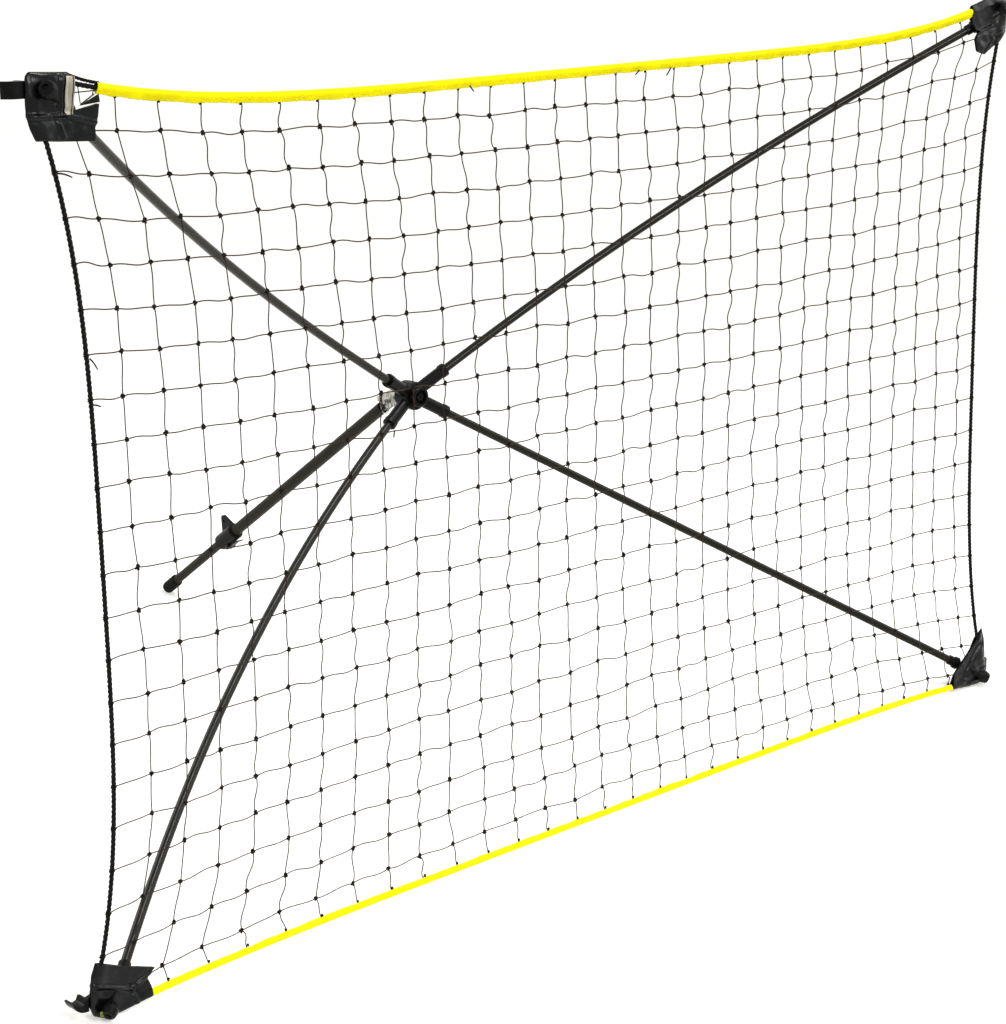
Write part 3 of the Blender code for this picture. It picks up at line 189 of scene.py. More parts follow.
def side_x(z):
    """Distance of the side rope from the middle of the net, at heights in the net's frame."""
    rise = np.asarray(z) + NET_DROP
    reach = {}
    for level in (TOP, BOTTOM):
        _, length, sag = side_run(level)
        reach[level] = SIDE_MIDDLE + sag * np.clip(np.abs(rise) / length, 0.0, 1.0) ** SIDE_POWER
    return np.where(rise > 0, reach[TOP], reach[BOTTOM])


def band_z(level, x):
    """Distance of the rope above or below the hub's axis, at places along the net."""
    _, length, sag = band_run(level)
    return BAND_MIDDLE[level] + sag * np.clip(np.abs(x) / length, 0.0, 1.0) ** BAND_POWER


def rope_quarter(level):
    """Route round one corner in distances: up the side, round an arc of a circle, and along the band."""
    side_angle, side_length, _ = side_run(level)
    band_angle, band_length, _ = band_run(level)
    rise = np.linspace(0.0, side_length, 48)[:-1]
    side = np.stack([side_x(level * rise - NET_DROP), rise - level * NET_DROP], axis=1)
    turn = np.linspace(-side_angle, math.pi / 2 + band_angle, 14)
    arc = np.stack([
        ROPE_CORNER_X + ROPE_CORNER_RADIUS * np.cos(turn),
        ROPE_CORNER_Z[level] + ROPE_CORNER_RADIUS * np.sin(turn)], axis=1)
    reach = np.linspace(band_length, 0.0, 60)[1:]
    band = np.stack([reach, band_z(level, reach)], axis=1)
    return np.vstack([side, arc, band])


def rope_route():
    """The closed route in x and z, counter-clockwise as the player sees it from behind."""
    runs = []
    for side, level in ((RIGHT, TOP), (LEFT, TOP), (LEFT, BOTTOM), (RIGHT, BOTTOM)):
        run = rope_quarter(level) * (side, level)
        runs.append((run if side == level else run[::-1])[:-1])
    return np.vstack(runs)


# Surfaces as whole arrays

def woven_faces(count, rows, columns, wrap_rows, wrap_columns):
    """Corner numbers of the quads of several like grids, and the row and column of each corner."""
    row = np.arange(rows if wrap_rows else rows - 1)
    column = np.arange(columns if wrap_columns else columns - 1)
    r, c = np.meshgrid(row, column, indexing="ij")
    corner_rows = np.stack([r, r, r + 1, r + 1], axis=-1).reshape(-1, 4)
    corner_columns = np.stack([c, c + 1, c + 1, c], axis=-1).reshape(-1, 4)
    numbers = (corner_rows % rows) * columns + corner_columns % columns
    shift = np.arange(count)[:, None, None] * rows * columns
    faces = (numbers[None] + shift).reshape(-1, 4)
    return faces, np.tile(corner_rows, (count, 1)), np.tile(corner_columns, (count, 1))


def frames_along(paths, closed):
    """Tangent, in-plane outward and cross directions at each point of each path."""
    if closed:
        ahead = np.roll(paths, -1, axis=-2) - np.roll(paths, 1, axis=-2)
    else:
        ahead = np.gradient(paths, axis=-2)
    tangent = unit(ahead)
    outward = unit(np.cross(tangent, (0.0, 1.0, 0.0)))
    return tangent, outward, np.cross(tangent, outward)


def tube_grid(paths, radii, closed=False):
    """Tubes along paths: centre + r(angle) (outward cos angle + across sin angle), per path point.

    paths is (tubes, points, 3), and radii is (points or 1, sides) in metres."""
    _, outward, across = frames_along(paths, closed)
    sides = radii.shape[-1]
    angle = np.linspace(0.0, 2 * math.pi, sides, endpoint=False)
    ring = outward[..., None, :] * np.cos(angle)[:, None] + across[..., None, :] * np.sin(angle)[:, None]
    return paths[..., None, :] + ring * radii[..., None]


def make_piece(name, points, faces, material, uv=None):
    """A mesh object at the origin from points in the net's frame."""
    mesh = bpy.data.meshes.new(name)
    mesh.from_pydata(in_room(points.reshape(-1, 3)).tolist(), [], faces)
    mesh.polygons.foreach_set("use_smooth", np.ones(len(mesh.polygons), bool))
    if uv is not None:
        mesh.uv_layers.new(name="along").data.foreach_set("uv", uv.ravel())
    mesh.materials.append(material)
    mesh.update()
    piece = bpy.data.objects.new(name, mesh)
    bpy.context.scene.collection.objects.link(piece)
    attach(piece, "net_frame")
    return piece


def tube_piece(name, paths, radii, material, closed=False, step=None):
    """Tubes as one piece; its UV map runs in metres along and in turns around. Open ends are capped."""
    count, length = paths.shape[:2]
    sides = radii.shape[-1]
    points = tube_grid(paths, radii, closed)
    faces, rows, columns = woven_faces(count, length, sides, closed, True)
    if step is None:
        step = np.linalg.norm(np.diff(paths, axis=1), axis=-1).mean()
    uv = np.stack([rows * step, columns / sides], axis=-1).reshape(-1, 2)
    faces = faces.tolist()
    if not closed:
        start = np.arange(count)[:, None] * length * sides
        ring = np.arange(sides)
        first = start + ring[::-1]
        last = start + (length - 1) * sides + ring
        faces += first.tolist() + last.tolist()
        ends = np.zeros((count * sides, 2))
        uv = np.vstack([uv, ends, ends + (length * step, 0.0)])
    return make_piece(name, points, faces, material, uv)


def thickened(piece, thickness, offset):
    """Gives a sheet its thickness, on the side that the offset names."""
    wall = piece.modifiers.new("wall", "SOLIDIFY")
    wall.thickness = thickness
    wall.offset = offset


# Materials

def add_node(tree, kind, settings=None, inputs=None):
    """Adds a node, sets its properties, and fills its inputs with values or links."""
    node = tree.nodes.new(kind)
    for key, value in (settings or {}).items():
        setattr(node, key, value)
    for key, value in (inputs or {}).items():
        if isinstance(value, bpy.types.NodeSocket):
            tree.links.new(value, node.inputs[key])
        else:
            node.inputs[key].default_value = value
    return node


def worked(tree, operation, first, second=0.5):
    """Result of a Math node on numbers or links."""
    return add_node(tree, "ShaderNodeMath", {"operation": operation}, {0: first, 1: second}).outputs[0]


def new_material(name, roughness=0.5, metallic=0.0, specular=None):
    """A Principled material and its tree; uniform values sit on the shader's own sockets."""
    material = bpy.data.materials.new(name)
    material.use_nodes = True
    tree = material.node_tree
    shader = tree.nodes["Principled BSDF"]
    shader.inputs["Roughness"].default_value = roughness
    shader.inputs["Metallic"].default_value = metallic
    if specular is not None:
        shader.inputs["Specular IOR Level"].default_value = specular
    return material, tree, shader


def shared(name, make, *values):
    """The material of that name, made by a function if it isn't there yet."""
    return bpy.data.materials.get(name) or make(name, *values)


def object_place(tree, stretch=(1.0, 1.0, 1.0)):
    """Object coordinates, stretched by a Mapping node."""
    place = add_node(tree, "ShaderNodeTexCoord").outputs["Object"]
    return add_node(tree, "ShaderNodeMapping", None, {"Vector": place, "Scale": stretch}).outputs["Vector"]


def along_and_around(tree):
    """The two parts of the UV map: metres along, and turns around."""
    uv = add_node(tree, "ShaderNodeUVMap", {"uv_map": "along"}).outputs["UV"]
    parts = add_node(tree, "ShaderNodeSeparateXYZ", None, {"Vector": uv})
    return parts.outputs["X"], parts.outputs["Y"]


def per_metre(millimetres):
    """Texture scale whose features repeat about every so many millimetres."""
    return 1000.0 / millimetres


def noise(tree, millimetres, detail=3.0, roughness=0.55, stretch=(1.0, 1.0, 1.0)):
    return add_node(tree, "ShaderNodeTexNoise", None, {
        "Vector": object_place(tree, stretch), "Scale": per_metre(millimetres),
        "Detail": detail, "Roughness": roughness}).outputs["Fac"]


def steps(tree, value, low, high, to_low=0.0, to_high=1.0):
    """A value's range mapped to another, and held at its ends."""
    return add_node(tree, "ShaderNodeMapRange", {"clamp": True}, {
        "Value": value, "From Min": low, "From Max": high, "To Min": to_low, "To Max": to_high,
    }).outputs["Result"]


def colour_mix(tree, factor, low, high):
    """Colour between two, by a factor."""
    return add_node(tree, "ShaderNodeMix", {"data_type": "RGBA"}, {0: factor, 6: low, 7: high}).outputs[2]


def coloured(tree, shader, value, limits, low, high):
    """Base colour that runs from one to the other as a value runs between its limits."""
    colour = colour_mix(tree, steps(tree, value, *limits), low, high)
    tree.links.new(colour, shader.inputs["Base Color"])


def roughened(tree, shader, value, limits, low, high):
    """Roughness that runs from one to the other as a value runs between its limits."""
    tree.links.new(steps(tree, value, *limits, low, high), shader.inputs["Roughness"])


def bumped(tree, shader, height, depth, strength=1.0, below=None):
    """Bump of a height from 0 to 1 that stands a depth in metres."""
    inputs = {"Height": height, "Distance": depth, "Strength": strength}
    if below is not None:
        inputs["Normal"] = below
    bump = add_node(tree, "ShaderNodeBump", None, inputs).outputs["Normal"]
    tree.links.new(bump, shader.inputs["Normal"])
    return bump


def laid_strands(tree, turns_per_metre, strands):
    """Height of twisted strands from 0 to 1: a sine of the distance along and the turn around."""
    along, around = along_and_around(tree)
    phase = worked(
        tree, "ADD", worked(tree, "MULTIPLY", along, turns_per_metre * strands * 2 * math.pi),
        worked(tree, "MULTIPLY", around, strands * 2 * math.pi))
    return steps(tree, worked(tree, "SINE", phase), -1.0, 1.0)


def twisted_nylon_twine(name, dark, light):
    """Twisted nylon twine: dull, with the diagonal lay of its plies, painted shade in the grooves between
    them, and small fades in the dye.
    """
    material, tree, shader = new_material(name, 0.68, specular=0.1)
    lay = laid_strands(tree, per_metre(7.0), 3)
    # Painted shade: the colour darkens where the plies dip into their grooves; the noise fades the dye
    shade = worked(tree, "MULTIPLY", lay, noise(tree, 35.0, 4.0))
    coloured(tree, shader, shade, (0.05, 0.5), dark, light)
    bumped(tree, shader, lay, 0.0003)
    return material


def tarred_nylon_twine():
    """Twine stiffened with tar at the knots and cut ends: nearly black."""
    return shared("tarred_nylon_twine", twisted_nylon_twine, linear("#0a0807"), linear("#1f1a18"))


def laid_polypropylene_rope(name, colours):
    """Laid polypropylene rope: three strands of split film, faintly glossy, fuzzed with fibre ends."""
    material, tree, shader = new_material(name, specular=0.12)
    yarns = laid_strands(tree, per_metre(5.0), 9)
    fuzz = noise(tree, 1.4, 5.0, 0.7)
    mixed = worked(tree, "MULTIPLY", fuzz, noise(tree, 60.0))
    coloured(tree, shader, mixed, (0.12, 0.42), linear("#060607"), tuple(colours.rope))
    roughened(tree, shader, fuzz, (0.3, 0.7), 0.42, 0.72)
    below = bumped(tree, shader, yarns, 0.0003)
    bumped(tree, shader, fuzz, 0.0004, below=below)
    return material


def woven_polyester_tape(name, colour, worn):
    """Woven polyester tape in fluorescent yellow: matt, ribbed across, with a sewn hem that lies deeper and
    is painted darker as shade.
    """
    material, tree, shader = new_material(name, 0.62, specular=0.08)
    along, around = along_and_around(tree)
    # Ribs of 1.1 mm stand in for threads that are too fine to show
    ribs = laid_strands(tree, per_metre(1.1), 0.999)
    hem = steps(tree, worked(tree, "ABSOLUTE", worked(tree, "SUBTRACT", around, 0.5)), 0.10, 0.02)
    # Stitches every 3.2 mm along the hem
    stitch = steps(tree, worked(tree, "PINGPONG", along, 0.0016), 0.0005, 0.0009)
    base = colour_mix(tree, steps(tree, noise(tree, 28.0, 4.0), 0.35, 0.75), colour, worn)
    # The hem is painted a fifth of the way to the darker colour: painted shade where it lies deeper, on the
    # sleeve's net side
    coloured(tree, shader, hem, (0.0, 5.0), base, worn)
    below = bumped(tree, shader, ribs, 0.00012, 0.5)
    bumped(tree, shader, worked(tree, "MULTIPLY", stitch, hem), 0.0003, below=below)
    return material


def calendered_pvc_sheet(name, colours):
    """Calendered PVC sheet: blue-black, smooth with a leather-fine grain, and it keeps its creases."""
    material, tree, shader = new_material(name, specular=0.16)
    place = object_place(tree)
    # A grain of 1.5 mm, about twice the real one, so that it shows
    grain = add_node(tree, "ShaderNodeTexVoronoi", {"feature": "SMOOTH_F1"}, {
        "Vector": place, "Scale": per_metre(1.5)}).outputs["Distance"]
    crumple = add_node(tree, "ShaderNodeTexNoise", {"noise_type": "RIDGED_MULTIFRACTAL"}, {
        "Vector": place, "Scale": per_metre(34.0), "Detail": 2.0}).outputs["Fac"]
    dust = noise(tree, 9.0, 5.0, 0.65)
    coloured(tree, shader, dust, (0.5, 0.85), tuple(colours.vinyl), linear("#202223"))
    roughened(tree, shader, dust, (0.3, 0.8), 0.16, 0.38)
    below = bumped(tree, shader, grain, 0.00008, 0.7)
    bumped(tree, shader, crumple, 0.0012, 0.35, below=below)
    return material


def clear_pvc_tape(name):
    """A strip over the fold of the pocket's vinyl: pale and streaked, a painted reflection along the fold,
    with dark bands across it and along its edges.
    """
    material, tree, shader = new_material(name, 0.3, specular=0.3)
    across, _ = along_and_around(tree)
    streaks = noise(tree, 16.0, 4.0, stretch=(6.0, 6.0, 0.5))
    # Painted reflection: the pale, streaked colours stand in for light reflected along the fold of the vinyl
    pale = colour_mix(tree, steps(tree, streaks, 0.3, 0.7), linear("#8f8878"), linear("#c3bda9"))
    inner = worked(
        tree, "SUBTRACT", steps(tree, across, 0.70, 0.74), steps(tree, across, 0.86, 0.90))
    edge = steps(tree, worked(tree, "PINGPONG", across, 0.5), 0.10, 0.0)
    dark = worked(tree, "MAXIMUM", inner, edge)
    coloured(tree, shader, dark, (0.0, 1.0), pale, linear("#1d1b18"))
    bumped(tree, shader, streaks, 0.0004)
    return material


def weathered(name, colour, relief, gloss=None, **uniform):
    """A material whose colour, gloss and relief follow noises.

    colour and gloss are (noise, limits, low, high), and relief is (noise, depth, strength), where a
    noise is its size in millimetres, its detail and its roughness, and its stretch if it has one."""
    material, tree, shader = new_material(name, **uniform)
    grain, *settings = colour
    coloured(tree, shader, noise(tree, *grain), *settings)
    if gloss:
        grain, *settings = gloss
        roughened(tree, shader, noise(tree, *grain), *settings)
    grain, *settings = relief
    bumped(tree, shader, noise(tree, *grain), *settings)
    return material


def pultruded_fibreglass(name, colours):
    """Pultruded fibreglass rod: glossy olive-black resin with fine lines of glass along its length."""
    glass, scuffs = (2.6, 6.0, 0.7), (45.0, 5.0, 0.6)
    return weathered(
        name, (glass, (0.35, 0.75), tuple(colours.rod), linear("#1f1e17")), (glass, 0.00006),
        (scuffs, (0.35, 0.7), 0.2, 0.32), specular=0.16)


def moulded_polyamide(name, colours):
    """Moulded glass-filled polyamide: black, satin, with a spark-eroded grain and pale rubbed spots."""
    grain, rubbed = (0.9, 2.0), (14.0, 6.0, 0.7)
    return weathered(
        name, (rubbed, (0.55, 0.85), tuple(colours.plastic), linear("#191816")), (grain, 0.0001, 0.6),
        (rubbed, (0.3, 0.75), 0.24, 0.45), specular=0.09)


def powder_coated_steel(name, colours):
    """Powder-coated steel tube: olive-grey, half matt, with the orange peel of sprayed powder."""
    # The peel is 2 mm across, as on thick powder
    peel, scuffs = (2.0, 1.0), (26.0, 6.0, 0.7)
    return weathered(
        name, (scuffs, (0.5, 0.8), tuple(colours.tube), linear("#33322a")), (peel, 0.00012, 0.6),
        (scuffs, (0.3, 0.7), 0.36, 0.56), specular=0.08)


def zinc_plated_steel(name, _):
    """Zinc-plated steel: bright and bluish-white, brushed by the fold tools, and near black in patches:
    painted dark reflections between its highlights.
    """
    brushed, patches = (2.0, 4.0, 0.55, (1.0, 1.0, 9.0)), (7.0, 3.0)
    # Painted reflection: near-black patches stand in for the dark reflections between the bracket's bright
    # streaks
    return weathered(
        name, (patches, (0.38, 0.66), linear("#bdbcb6"), linear("#34332f")), (brushed, 0.00005),
        (patches, (0.3, 0.7), 0.18, 0.38), metallic=1.0)


def moulded_rubber(name, _):
    """Moulded natural rubber: dead black and dull, greyed with floor dust."""
    dust = (6.0, 6.0, 0.7)
    return weathered(
        name, (dust, (0.5, 0.85), linear("#111110"), linear("#2c2b28")), (dust, 0.0003),
        roughness=0.85, specular=0.1)


def blackened_steel(name, _):
    """Blackened steel of the hub's screw: near black and satin, worn a little bright on the edges."""
    worn = (3.0, 4.0)
    return weathered(
        name, (worn, (0.5, 0.8), linear("#141415"), linear("#3a3a3c")), (worn, 0.00005),
        roughness=0.38, metallic=1.0)


def ray_kinds(tree, *kinds):
    """One for rays of the named kinds, and nought for others."""
    rays = add_node(tree, "ShaderNodeLightPath").outputs
    seen = rays[kinds[0]]
    for kind in kinds[1:]:
        seen = worked(tree, "MAXIMUM", seen, rays[kind])
    return seen


def painted_screed(name, colours):
    """Painted screed: plain, pale and matt, a little uneven; away from the net it runs out to white."""
    material, tree, shader = new_material(name, 0.9)
    place = object_place(tree)
    away = steps(tree, add_node(tree, "ShaderNodeVectorMath", {"operation": "LENGTH"}, {
        0: place}).outputs["Value"], 1.0, 2.6)
    pale = colour_mix(tree, noise(tree, 400.0, 2.0), tuple(colours.floor), linear("#fbfaf7"))
    coloured(tree, shader, away, (0.0, 1.0), pale, linear("#000000"))
    glow = steps(tree, away, 0.0, 1.0, 0.32, 1.0)
    strength = worked(tree, "MULTIPLY", ray_kinds(tree, "Is Camera Ray", "Is Glossy Ray"), glow)
    shader.inputs["Emission Color"].default_value = linear("#fffdf8")
    tree.links.new(strength, shader.inputs["Emission Strength"])
    return material


# Sizes and colours that a user would change

def colour_property(name, description, code):
    return FloatVectorProperty(
        name=name, description=description, default=linear(code), size=4, min=0.0, max=1.0, subtype="COLOR")


def length_property(name, description, default):
    return FloatProperty(name=name, description=description, default=default, min=0.0, unit="LENGTH")


class NetSizes(bpy.types.PropertyGroup):
    columns: IntProperty(name="Columns", description="Squares along the net", default=31, min=4, max=60)
    rows: IntProperty(name="Rows", description="Squares up the net", default=22, min=4, max=60)
    cord: length_property("Cord", "Diameter of the twine", 0.0014)
    knot: length_property("Knot", "Width of a knot", 0.0064)
    slack: length_property("Slack", "How far a cord bows off its straight line", 0.0026)
    scatter: length_property("Scatter", "How far a knot sits off its place", 0.0015)
    seed: IntProperty(name="Seed", description="Start of the scatter", default=7)


class EdgeSizes(bpy.types.PropertyGroup):
    rope: length_property("Rope", "Diameter over the rope's three strands", 0.0055)
    rod: length_property("Rod", "Diameter of the rods", 0.011)
    lay: length_property("Lay", "Length of one turn of the rope's strands", 0.0165)
    sleeve_top: length_property("Top sleeve", "Height of the tape sleeve at the top", 0.0108)
    sleeve_bottom: length_property("Bottom sleeve", "Height of the tape sleeve at the bottom", 0.0088)
    pucker: length_property("Pucker", "How far the tape puckers between stitches", 0.00035)


class PocketSizes(bpy.types.PropertyGroup):
    wall: length_property("Sheet", "Thickness of the vinyl", 0.0009)
    lip: length_property("Lip", "Half the gap between the sheets at the open edges", 0.0018)
    crease: length_property("Crease", "Height of the creases", 0.0021)


class FinishColours(bpy.types.PropertyGroup):
    twine_across: colour_property("Twine across", "Twine of the level cords", "#453930")
    twine_down: colour_property("Twine down", "Twine of the upright cords", "#42322d")
    rope: colour_property("Rope", "Lit side of the edge rope", "#191817")
    tape: colour_property("Tape", "Sleeves", "#fff200")
    vinyl: colour_property("Vinyl", "Corner pockets", "#08090b")
    rod: colour_property("Rods", "Rods", "#0f0e09")
    plastic: colour_property("Plastic", "Hub, hooks and knobs", "#0a0a0a")
    tube: colour_property("Tubes", "Leg tubes", "#23211a")
    floor: colour_property("Floor", "Floor", "#f6f5f1")


# The net

# Points along one span of cord, and how far it stands before or behind a knot in diameters
CORD_STEPS = 8
CORD_CROSSING = 0.45
# How far inside the hem the last knots lie, and how far a hitch's turns drift along the rope
HEM_SETBACK = 0.0064
HITCH_DRIFT = 0.0012
# Beyond both of these distances from the net's middle a knot lies inside a pocket
POCKET_INSIDE_X = 0.700
POCKET_INSIDE_Z = 0.435

# The net's uneven stretch: places from the middle of its height as sums of terms k u^a v^b, where u
# and v run from -1 to 1 over the columns and the rows. The terms of higher powers splay the corners.
STRETCH_X = (
    (0.0026, 0, 0), (0.7426, 1, 0), (0.0076, 0, 1), (0.0033, 1, 1), (0.0674, 1, 2), (-0.0219, 0, 3),
    (-0.0101, 1, 3), (-0.1055, 3, 2), (-0.0310, 1, 4), (0.1578, 3, 4), (-0.0172, 2, 1), (0.0373, 2, 3))
STRETCH_Z = (
    (-0.0017, 0, 0), (0.4838, 0, 1), (-0.0025, 1, 1), (0.0033, 2, 0), (-0.0159, 0, 3), (0.0283, 4, 1),
    (0.0098, 2, 3), (0.0063, 4, 3), (0.0093, 3, 1), (-0.0017, 1, 3))


def stretched(terms, u, v):
    """Sum of the terms k u^a v^b."""
    return sum(k * u ** a * v ** b for k, a, b in terms)


def knot_places(sizes):
    """Places of all crossings, (columns + 1, rows + 1, 2): a stretched grid whose ends lie on the rope.

    Inside, x and z follow the stretch. The last cords of a column run straight up and down to the
    band, and those of a row end on the side rope at their own height."""
    u = np.linspace(-1.0, 1.0, sizes.columns + 1)[:, None]
    v = np.linspace(1.0, -1.0, sizes.rows + 1)[None]
    last = 1.0 - 2.0 / sizes.rows
    x = stretched(STRETCH_X, u, np.clip(v, -last, last))
    z = stretched(STRETCH_Z, u, v) - NET_DROP
    draw = np.random.default_rng(sizes.seed)
    loose = ((np.abs(u) < 1) & (np.abs(v) < 1)) * sizes.scatter
    x = x + draw.normal(0.0, 1.0, x.shape) * loose
    z = z + draw.normal(0.0, 0.8, z.shape) * loose
    # The sleeves were sewn on askew: the last cords lean left at the top right and right at the bottom left
    x[:, 0] -= 0.010 * np.clip((u[:, 0] - 0.2) / 0.6, 0.0, 1.0)
    x[:, -1] += 0.011 * np.clip((0.4 - u[:, 0]) / 1.2, 0.2, 1.0)
    z[:, 0] = band_z(TOP, x[:, 0])
    z[:, -1] = -band_z(BOTTOM, x[:, -1])
    for side, column in ((LEFT, 0), (RIGHT, -1)):
        x[column] = side * side_x(z[column])
    return np.stack([x, z], axis=-1)


def cord_paths(knots, bow, wave, depth, steps):
    """Paths along one line of knots each: straight spans with a bow and an S-shaped wave across them.

    knots is (lines, knots, 2); the offset across is bow sin(pi s) + wave sin(2 pi s), and the cord
    passes in front of one knot and behind the next by a depth."""
    share = np.linspace(0.0, 1.0, steps, endpoint=False)
    start, end = knots[:, :-1, None], knots[:, 1:, None]
    span = end - start
    across = unit(np.stack([-span[..., 1], span[..., 0]], axis=-1))
    offset = bow[..., None] * np.sin(math.pi * share) + wave[..., None] * np.sin(2 * math.pi * share)
    inside = start + span * share[:, None] + across * offset[..., None]
    flat = inside.reshape(len(knots), -1, 2)
    flat = np.concatenate([flat, knots[:, -1:]], axis=1)
    phase = np.arange(flat.shape[1]) / steps * math.pi
    return at_depth(flat, depth * np.cos(phase))


def knot_loops(places, width, seed):
    """Closed loops of a three-lobed knot round each place, turned at random.

    Loop: x = sin t + 2 sin 2t, z = cos t - 2 cos 2t, y = -1.2 sin 3t, brought to the knot's width."""
    t = np.linspace(0.0, 2 * math.pi, 14, endpoint=False)
    scale = width / 8.6
    x, z = np.sin(t) + 2 * np.sin(2 * t), np.cos(t) - 2 * np.cos(2 * t)
    loop = np.stack([x, -1.2 * np.sin(3 * t), z], axis=-1)
    draw = np.random.default_rng(seed)
    turn = draw.uniform(0.0, 2 * math.pi, len(places))[:, None]
    size = scale * draw.uniform(0.85, 1.15, len(places))[:, None]
    x = loop[:, 0] * np.cos(turn) - loop[:, 2] * np.sin(turn)
    z = (loop[:, 0] * np.sin(turn) + loop[:, 2] * np.cos(turn)) * 1.15
    out = np.broadcast_to(loop[:, 1], x.shape)
    return np.stack([x * size, out * size, z * size], axis=-1) + places[:, None]


def hitch_loops(places, headings, radius, drift):
    """Two turns of twine round the rope at each place: a helix closed on itself behind the rope."""
    t = np.linspace(0.0, 2 * math.pi, 20, endpoint=False)
    out = radius * (1.0 + 0.10 * np.cos(t))
    along = drift * np.sin(t)
    heading = np.stack([headings[:, 0], np.zeros(len(headings)), headings[:, 1]], axis=-1)
    side = np.cross(heading, (0.0, 1.0, 0.0))
    ring = side[:, None] * (out * np.cos(2 * t))[:, None] + heading[:, None] * along[:, None]
    return places[:, None] + ring + np.array([0.0, 1.0, 0.0]) * (out * np.sin(2 * t))[:, None]


def build_cords(name, knots, bow, wave, crossing, sizes, colours):
    """Cords along lines of knots; the crossing is their depth at every second knot, in diameters."""
    paths = cord_paths(knots, bow, wave, sizes.cord * crossing, CORD_STEPS)
    material = twisted_nylon_twine(f"twisted_nylon_twine_{name}", *colours)
    return tube_piece(f"net_cords_{name}", paths, np.full((1, 6), sizes.cord / 2), material)


def build_net(context):
    sizes, colours = context.scene.rebound_net, context.scene.rebound_colours
    knots = knot_places(sizes)
    draw = np.random.default_rng(sizes.seed + 1)
    knot_material = tarred_nylon_twine()

    down = knots[1:-1]
    spans = down.shape[0], down.shape[1] - 1
    # Upright cords hang straight near the left side, where the net is tightest, and wave elsewhere
    place = np.linspace(-1.0, 1.0, sizes.columns + 1)[1:-1, None]
    wave = sizes.slack * draw.beta(1.6, 2.2, spans) * np.where(place < -0.75, 0.35, 1.3)
    wave *= np.where(draw.random(spans) < 0.12, -0.6, 1.0)
    bow = draw.normal(0.0, 0.2, spans) * sizes.slack
    cords_down = build_cords(
        "upright", down, bow, wave, CORD_CROSSING, sizes, (linear("#201715"), tuple(colours.twine_down)))

    # Level cords hang slacker on the left than on the right
    level = knots[:, 1:-1].transpose(1, 0, 2)
    spans = level.shape[0], level.shape[1] - 1
    right = np.linspace(-1.0, 1.0, spans[1]) > 0.35
    wave = draw.normal(0.22, 0.26, spans) * sizes.slack * np.where(right, 0.4, 1.0)
    bow = draw.normal(-0.15, 0.25, spans) * sizes.slack * np.where(right, 0.5, 1.0)
    build_cords(
        "level", level, bow, wave, -CORD_CROSSING, sizes, (linear("#261d17"), tuple(colours.twine_across)))

    def knotted(name, loops, sides, radius):
        tube_piece(name, loops, np.full((1, sides), radius), knot_material, closed=True)

    # Knots inside the pockets are pressed flat under the vinyl, and aren't made
    inner = knots[1:-1, 1:-1].reshape(-1, 2)
    free = (np.abs(inner[:, 0]) < POCKET_INSIDE_X) | (np.abs(inner[:, 1] + NET_DROP) < POCKET_INSIDE_Z)
    loops = knot_loops(at_depth(inner[free]), sizes.knot, sizes.seed + 2)
    knotted("net_knots", loops, 4, sizes.knot * 0.19)

    # Where a cord meets a sleeve, it ends in a small half knot just inside the hem
    hems = []
    for end, inside in ((0, 1), (-1, -2)):
        last = knots[2:-2, inside] - knots[2:-2, end]
        hems.append(knots[2:-2, end] + last * (HEM_SETBACK / np.abs(last[:, 1:])))
    loops = knot_loops(at_depth(np.concatenate(hems)), sizes.knot * 0.62, sizes.seed + 3)
    knotted("hem_knots", loops, 4, sizes.knot * 0.133)

    # Where a level cord meets a side rope, it is hitched round it with two turns
    for side, name in ((0, "left"), (-1, "right")):
        heading = unit(np.gradient(knots[side], axis=0)[1:-1])
        loops = hitch_loops(
            at_depth(knots[side, 1:-1]), heading, context.scene.rebound_edge.rope / 2, HITCH_DRIFT)
        knotted(f"hitches_{name}", loops, 6, sizes.cord * 0.5)
    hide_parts("net_mesh")


# Loose ends of twine, as start and end in x and z of the net's frame
TAILS = {
    "tail_side_high": ((-0.7576, 0.3935), (-0.7425, 0.3885)),
    "tail_side_middle": ((-0.7335, 0.2067), (-0.7275, 0.1950)),
    "tail_side_low": ((-0.7335, 0.1590), (-0.7262, 0.1568)),
    "tail_top_left": ((-0.2150, 0.4400), (-0.2128, 0.4335)),
    "tail_top_middle": ((0.0560, 0.4385), (0.0454, 0.4348)),
    "tail_top_right": ((0.1106, 0.4385), (0.0985, 0.4300)),
    "tail_middle": ((-0.3398, 0.0668), (-0.3447, 0.0600)),
}


def build_tails(context):
    """Each tail is a short arc: start + s (end - start) + 0.08 length sin(pi s) across, drooping forward."""
    sizes, material = context.scene.rebound_net, tarred_nylon_twine()
    s = np.linspace(0.0, 1.0, 9)
    for name, (start, end) in TAILS.items():
        start, end = np.array(start), np.array(end)
        span = end - start
        across = np.array([-span[1], span[0]]) * 0.08
        flat = start + span * s[:, None] + across * np.sin(math.pi * s)[:, None]
        path = at_depth(flat, -0.002 - 0.004 * s ** 2)
        radii = (sizes.cord * 0.62 * (1.0 - 0.25 * s ** 6))[:, None] * np.ones(6)
        tube_piece(name, path[None], radii, material)


# The rope and the sleeves

TAPE_THICKNESS = 0.0005


def strand_radii(diameter, sides, turns, rows):
    """Outline of three strands laid together, turning along the rope.

    A strand's circle has radius b at a distance c from the middle, so at an angle a from its
    centre the rope's surface is c cos a + sqrt(b^2 - c^2 sin^2 a) out."""
    strand = diameter * 0.235
    centre = diameter / 2 - strand
    angle = np.linspace(0.0, 2 * math.pi, sides, endpoint=False)[None]
    twist = np.linspace(0.0, 2 * math.pi * turns, rows, endpoint=False)[:, None]
    third = 2 * math.pi / 3
    a = (angle - twist + third / 2) % third - third / 2
    bulge = strand ** 2 - (centre * np.sin(a)) ** 2
    return centre * np.cos(a) + np.sqrt(np.maximum(bulge, (strand * 0.3) ** 2))


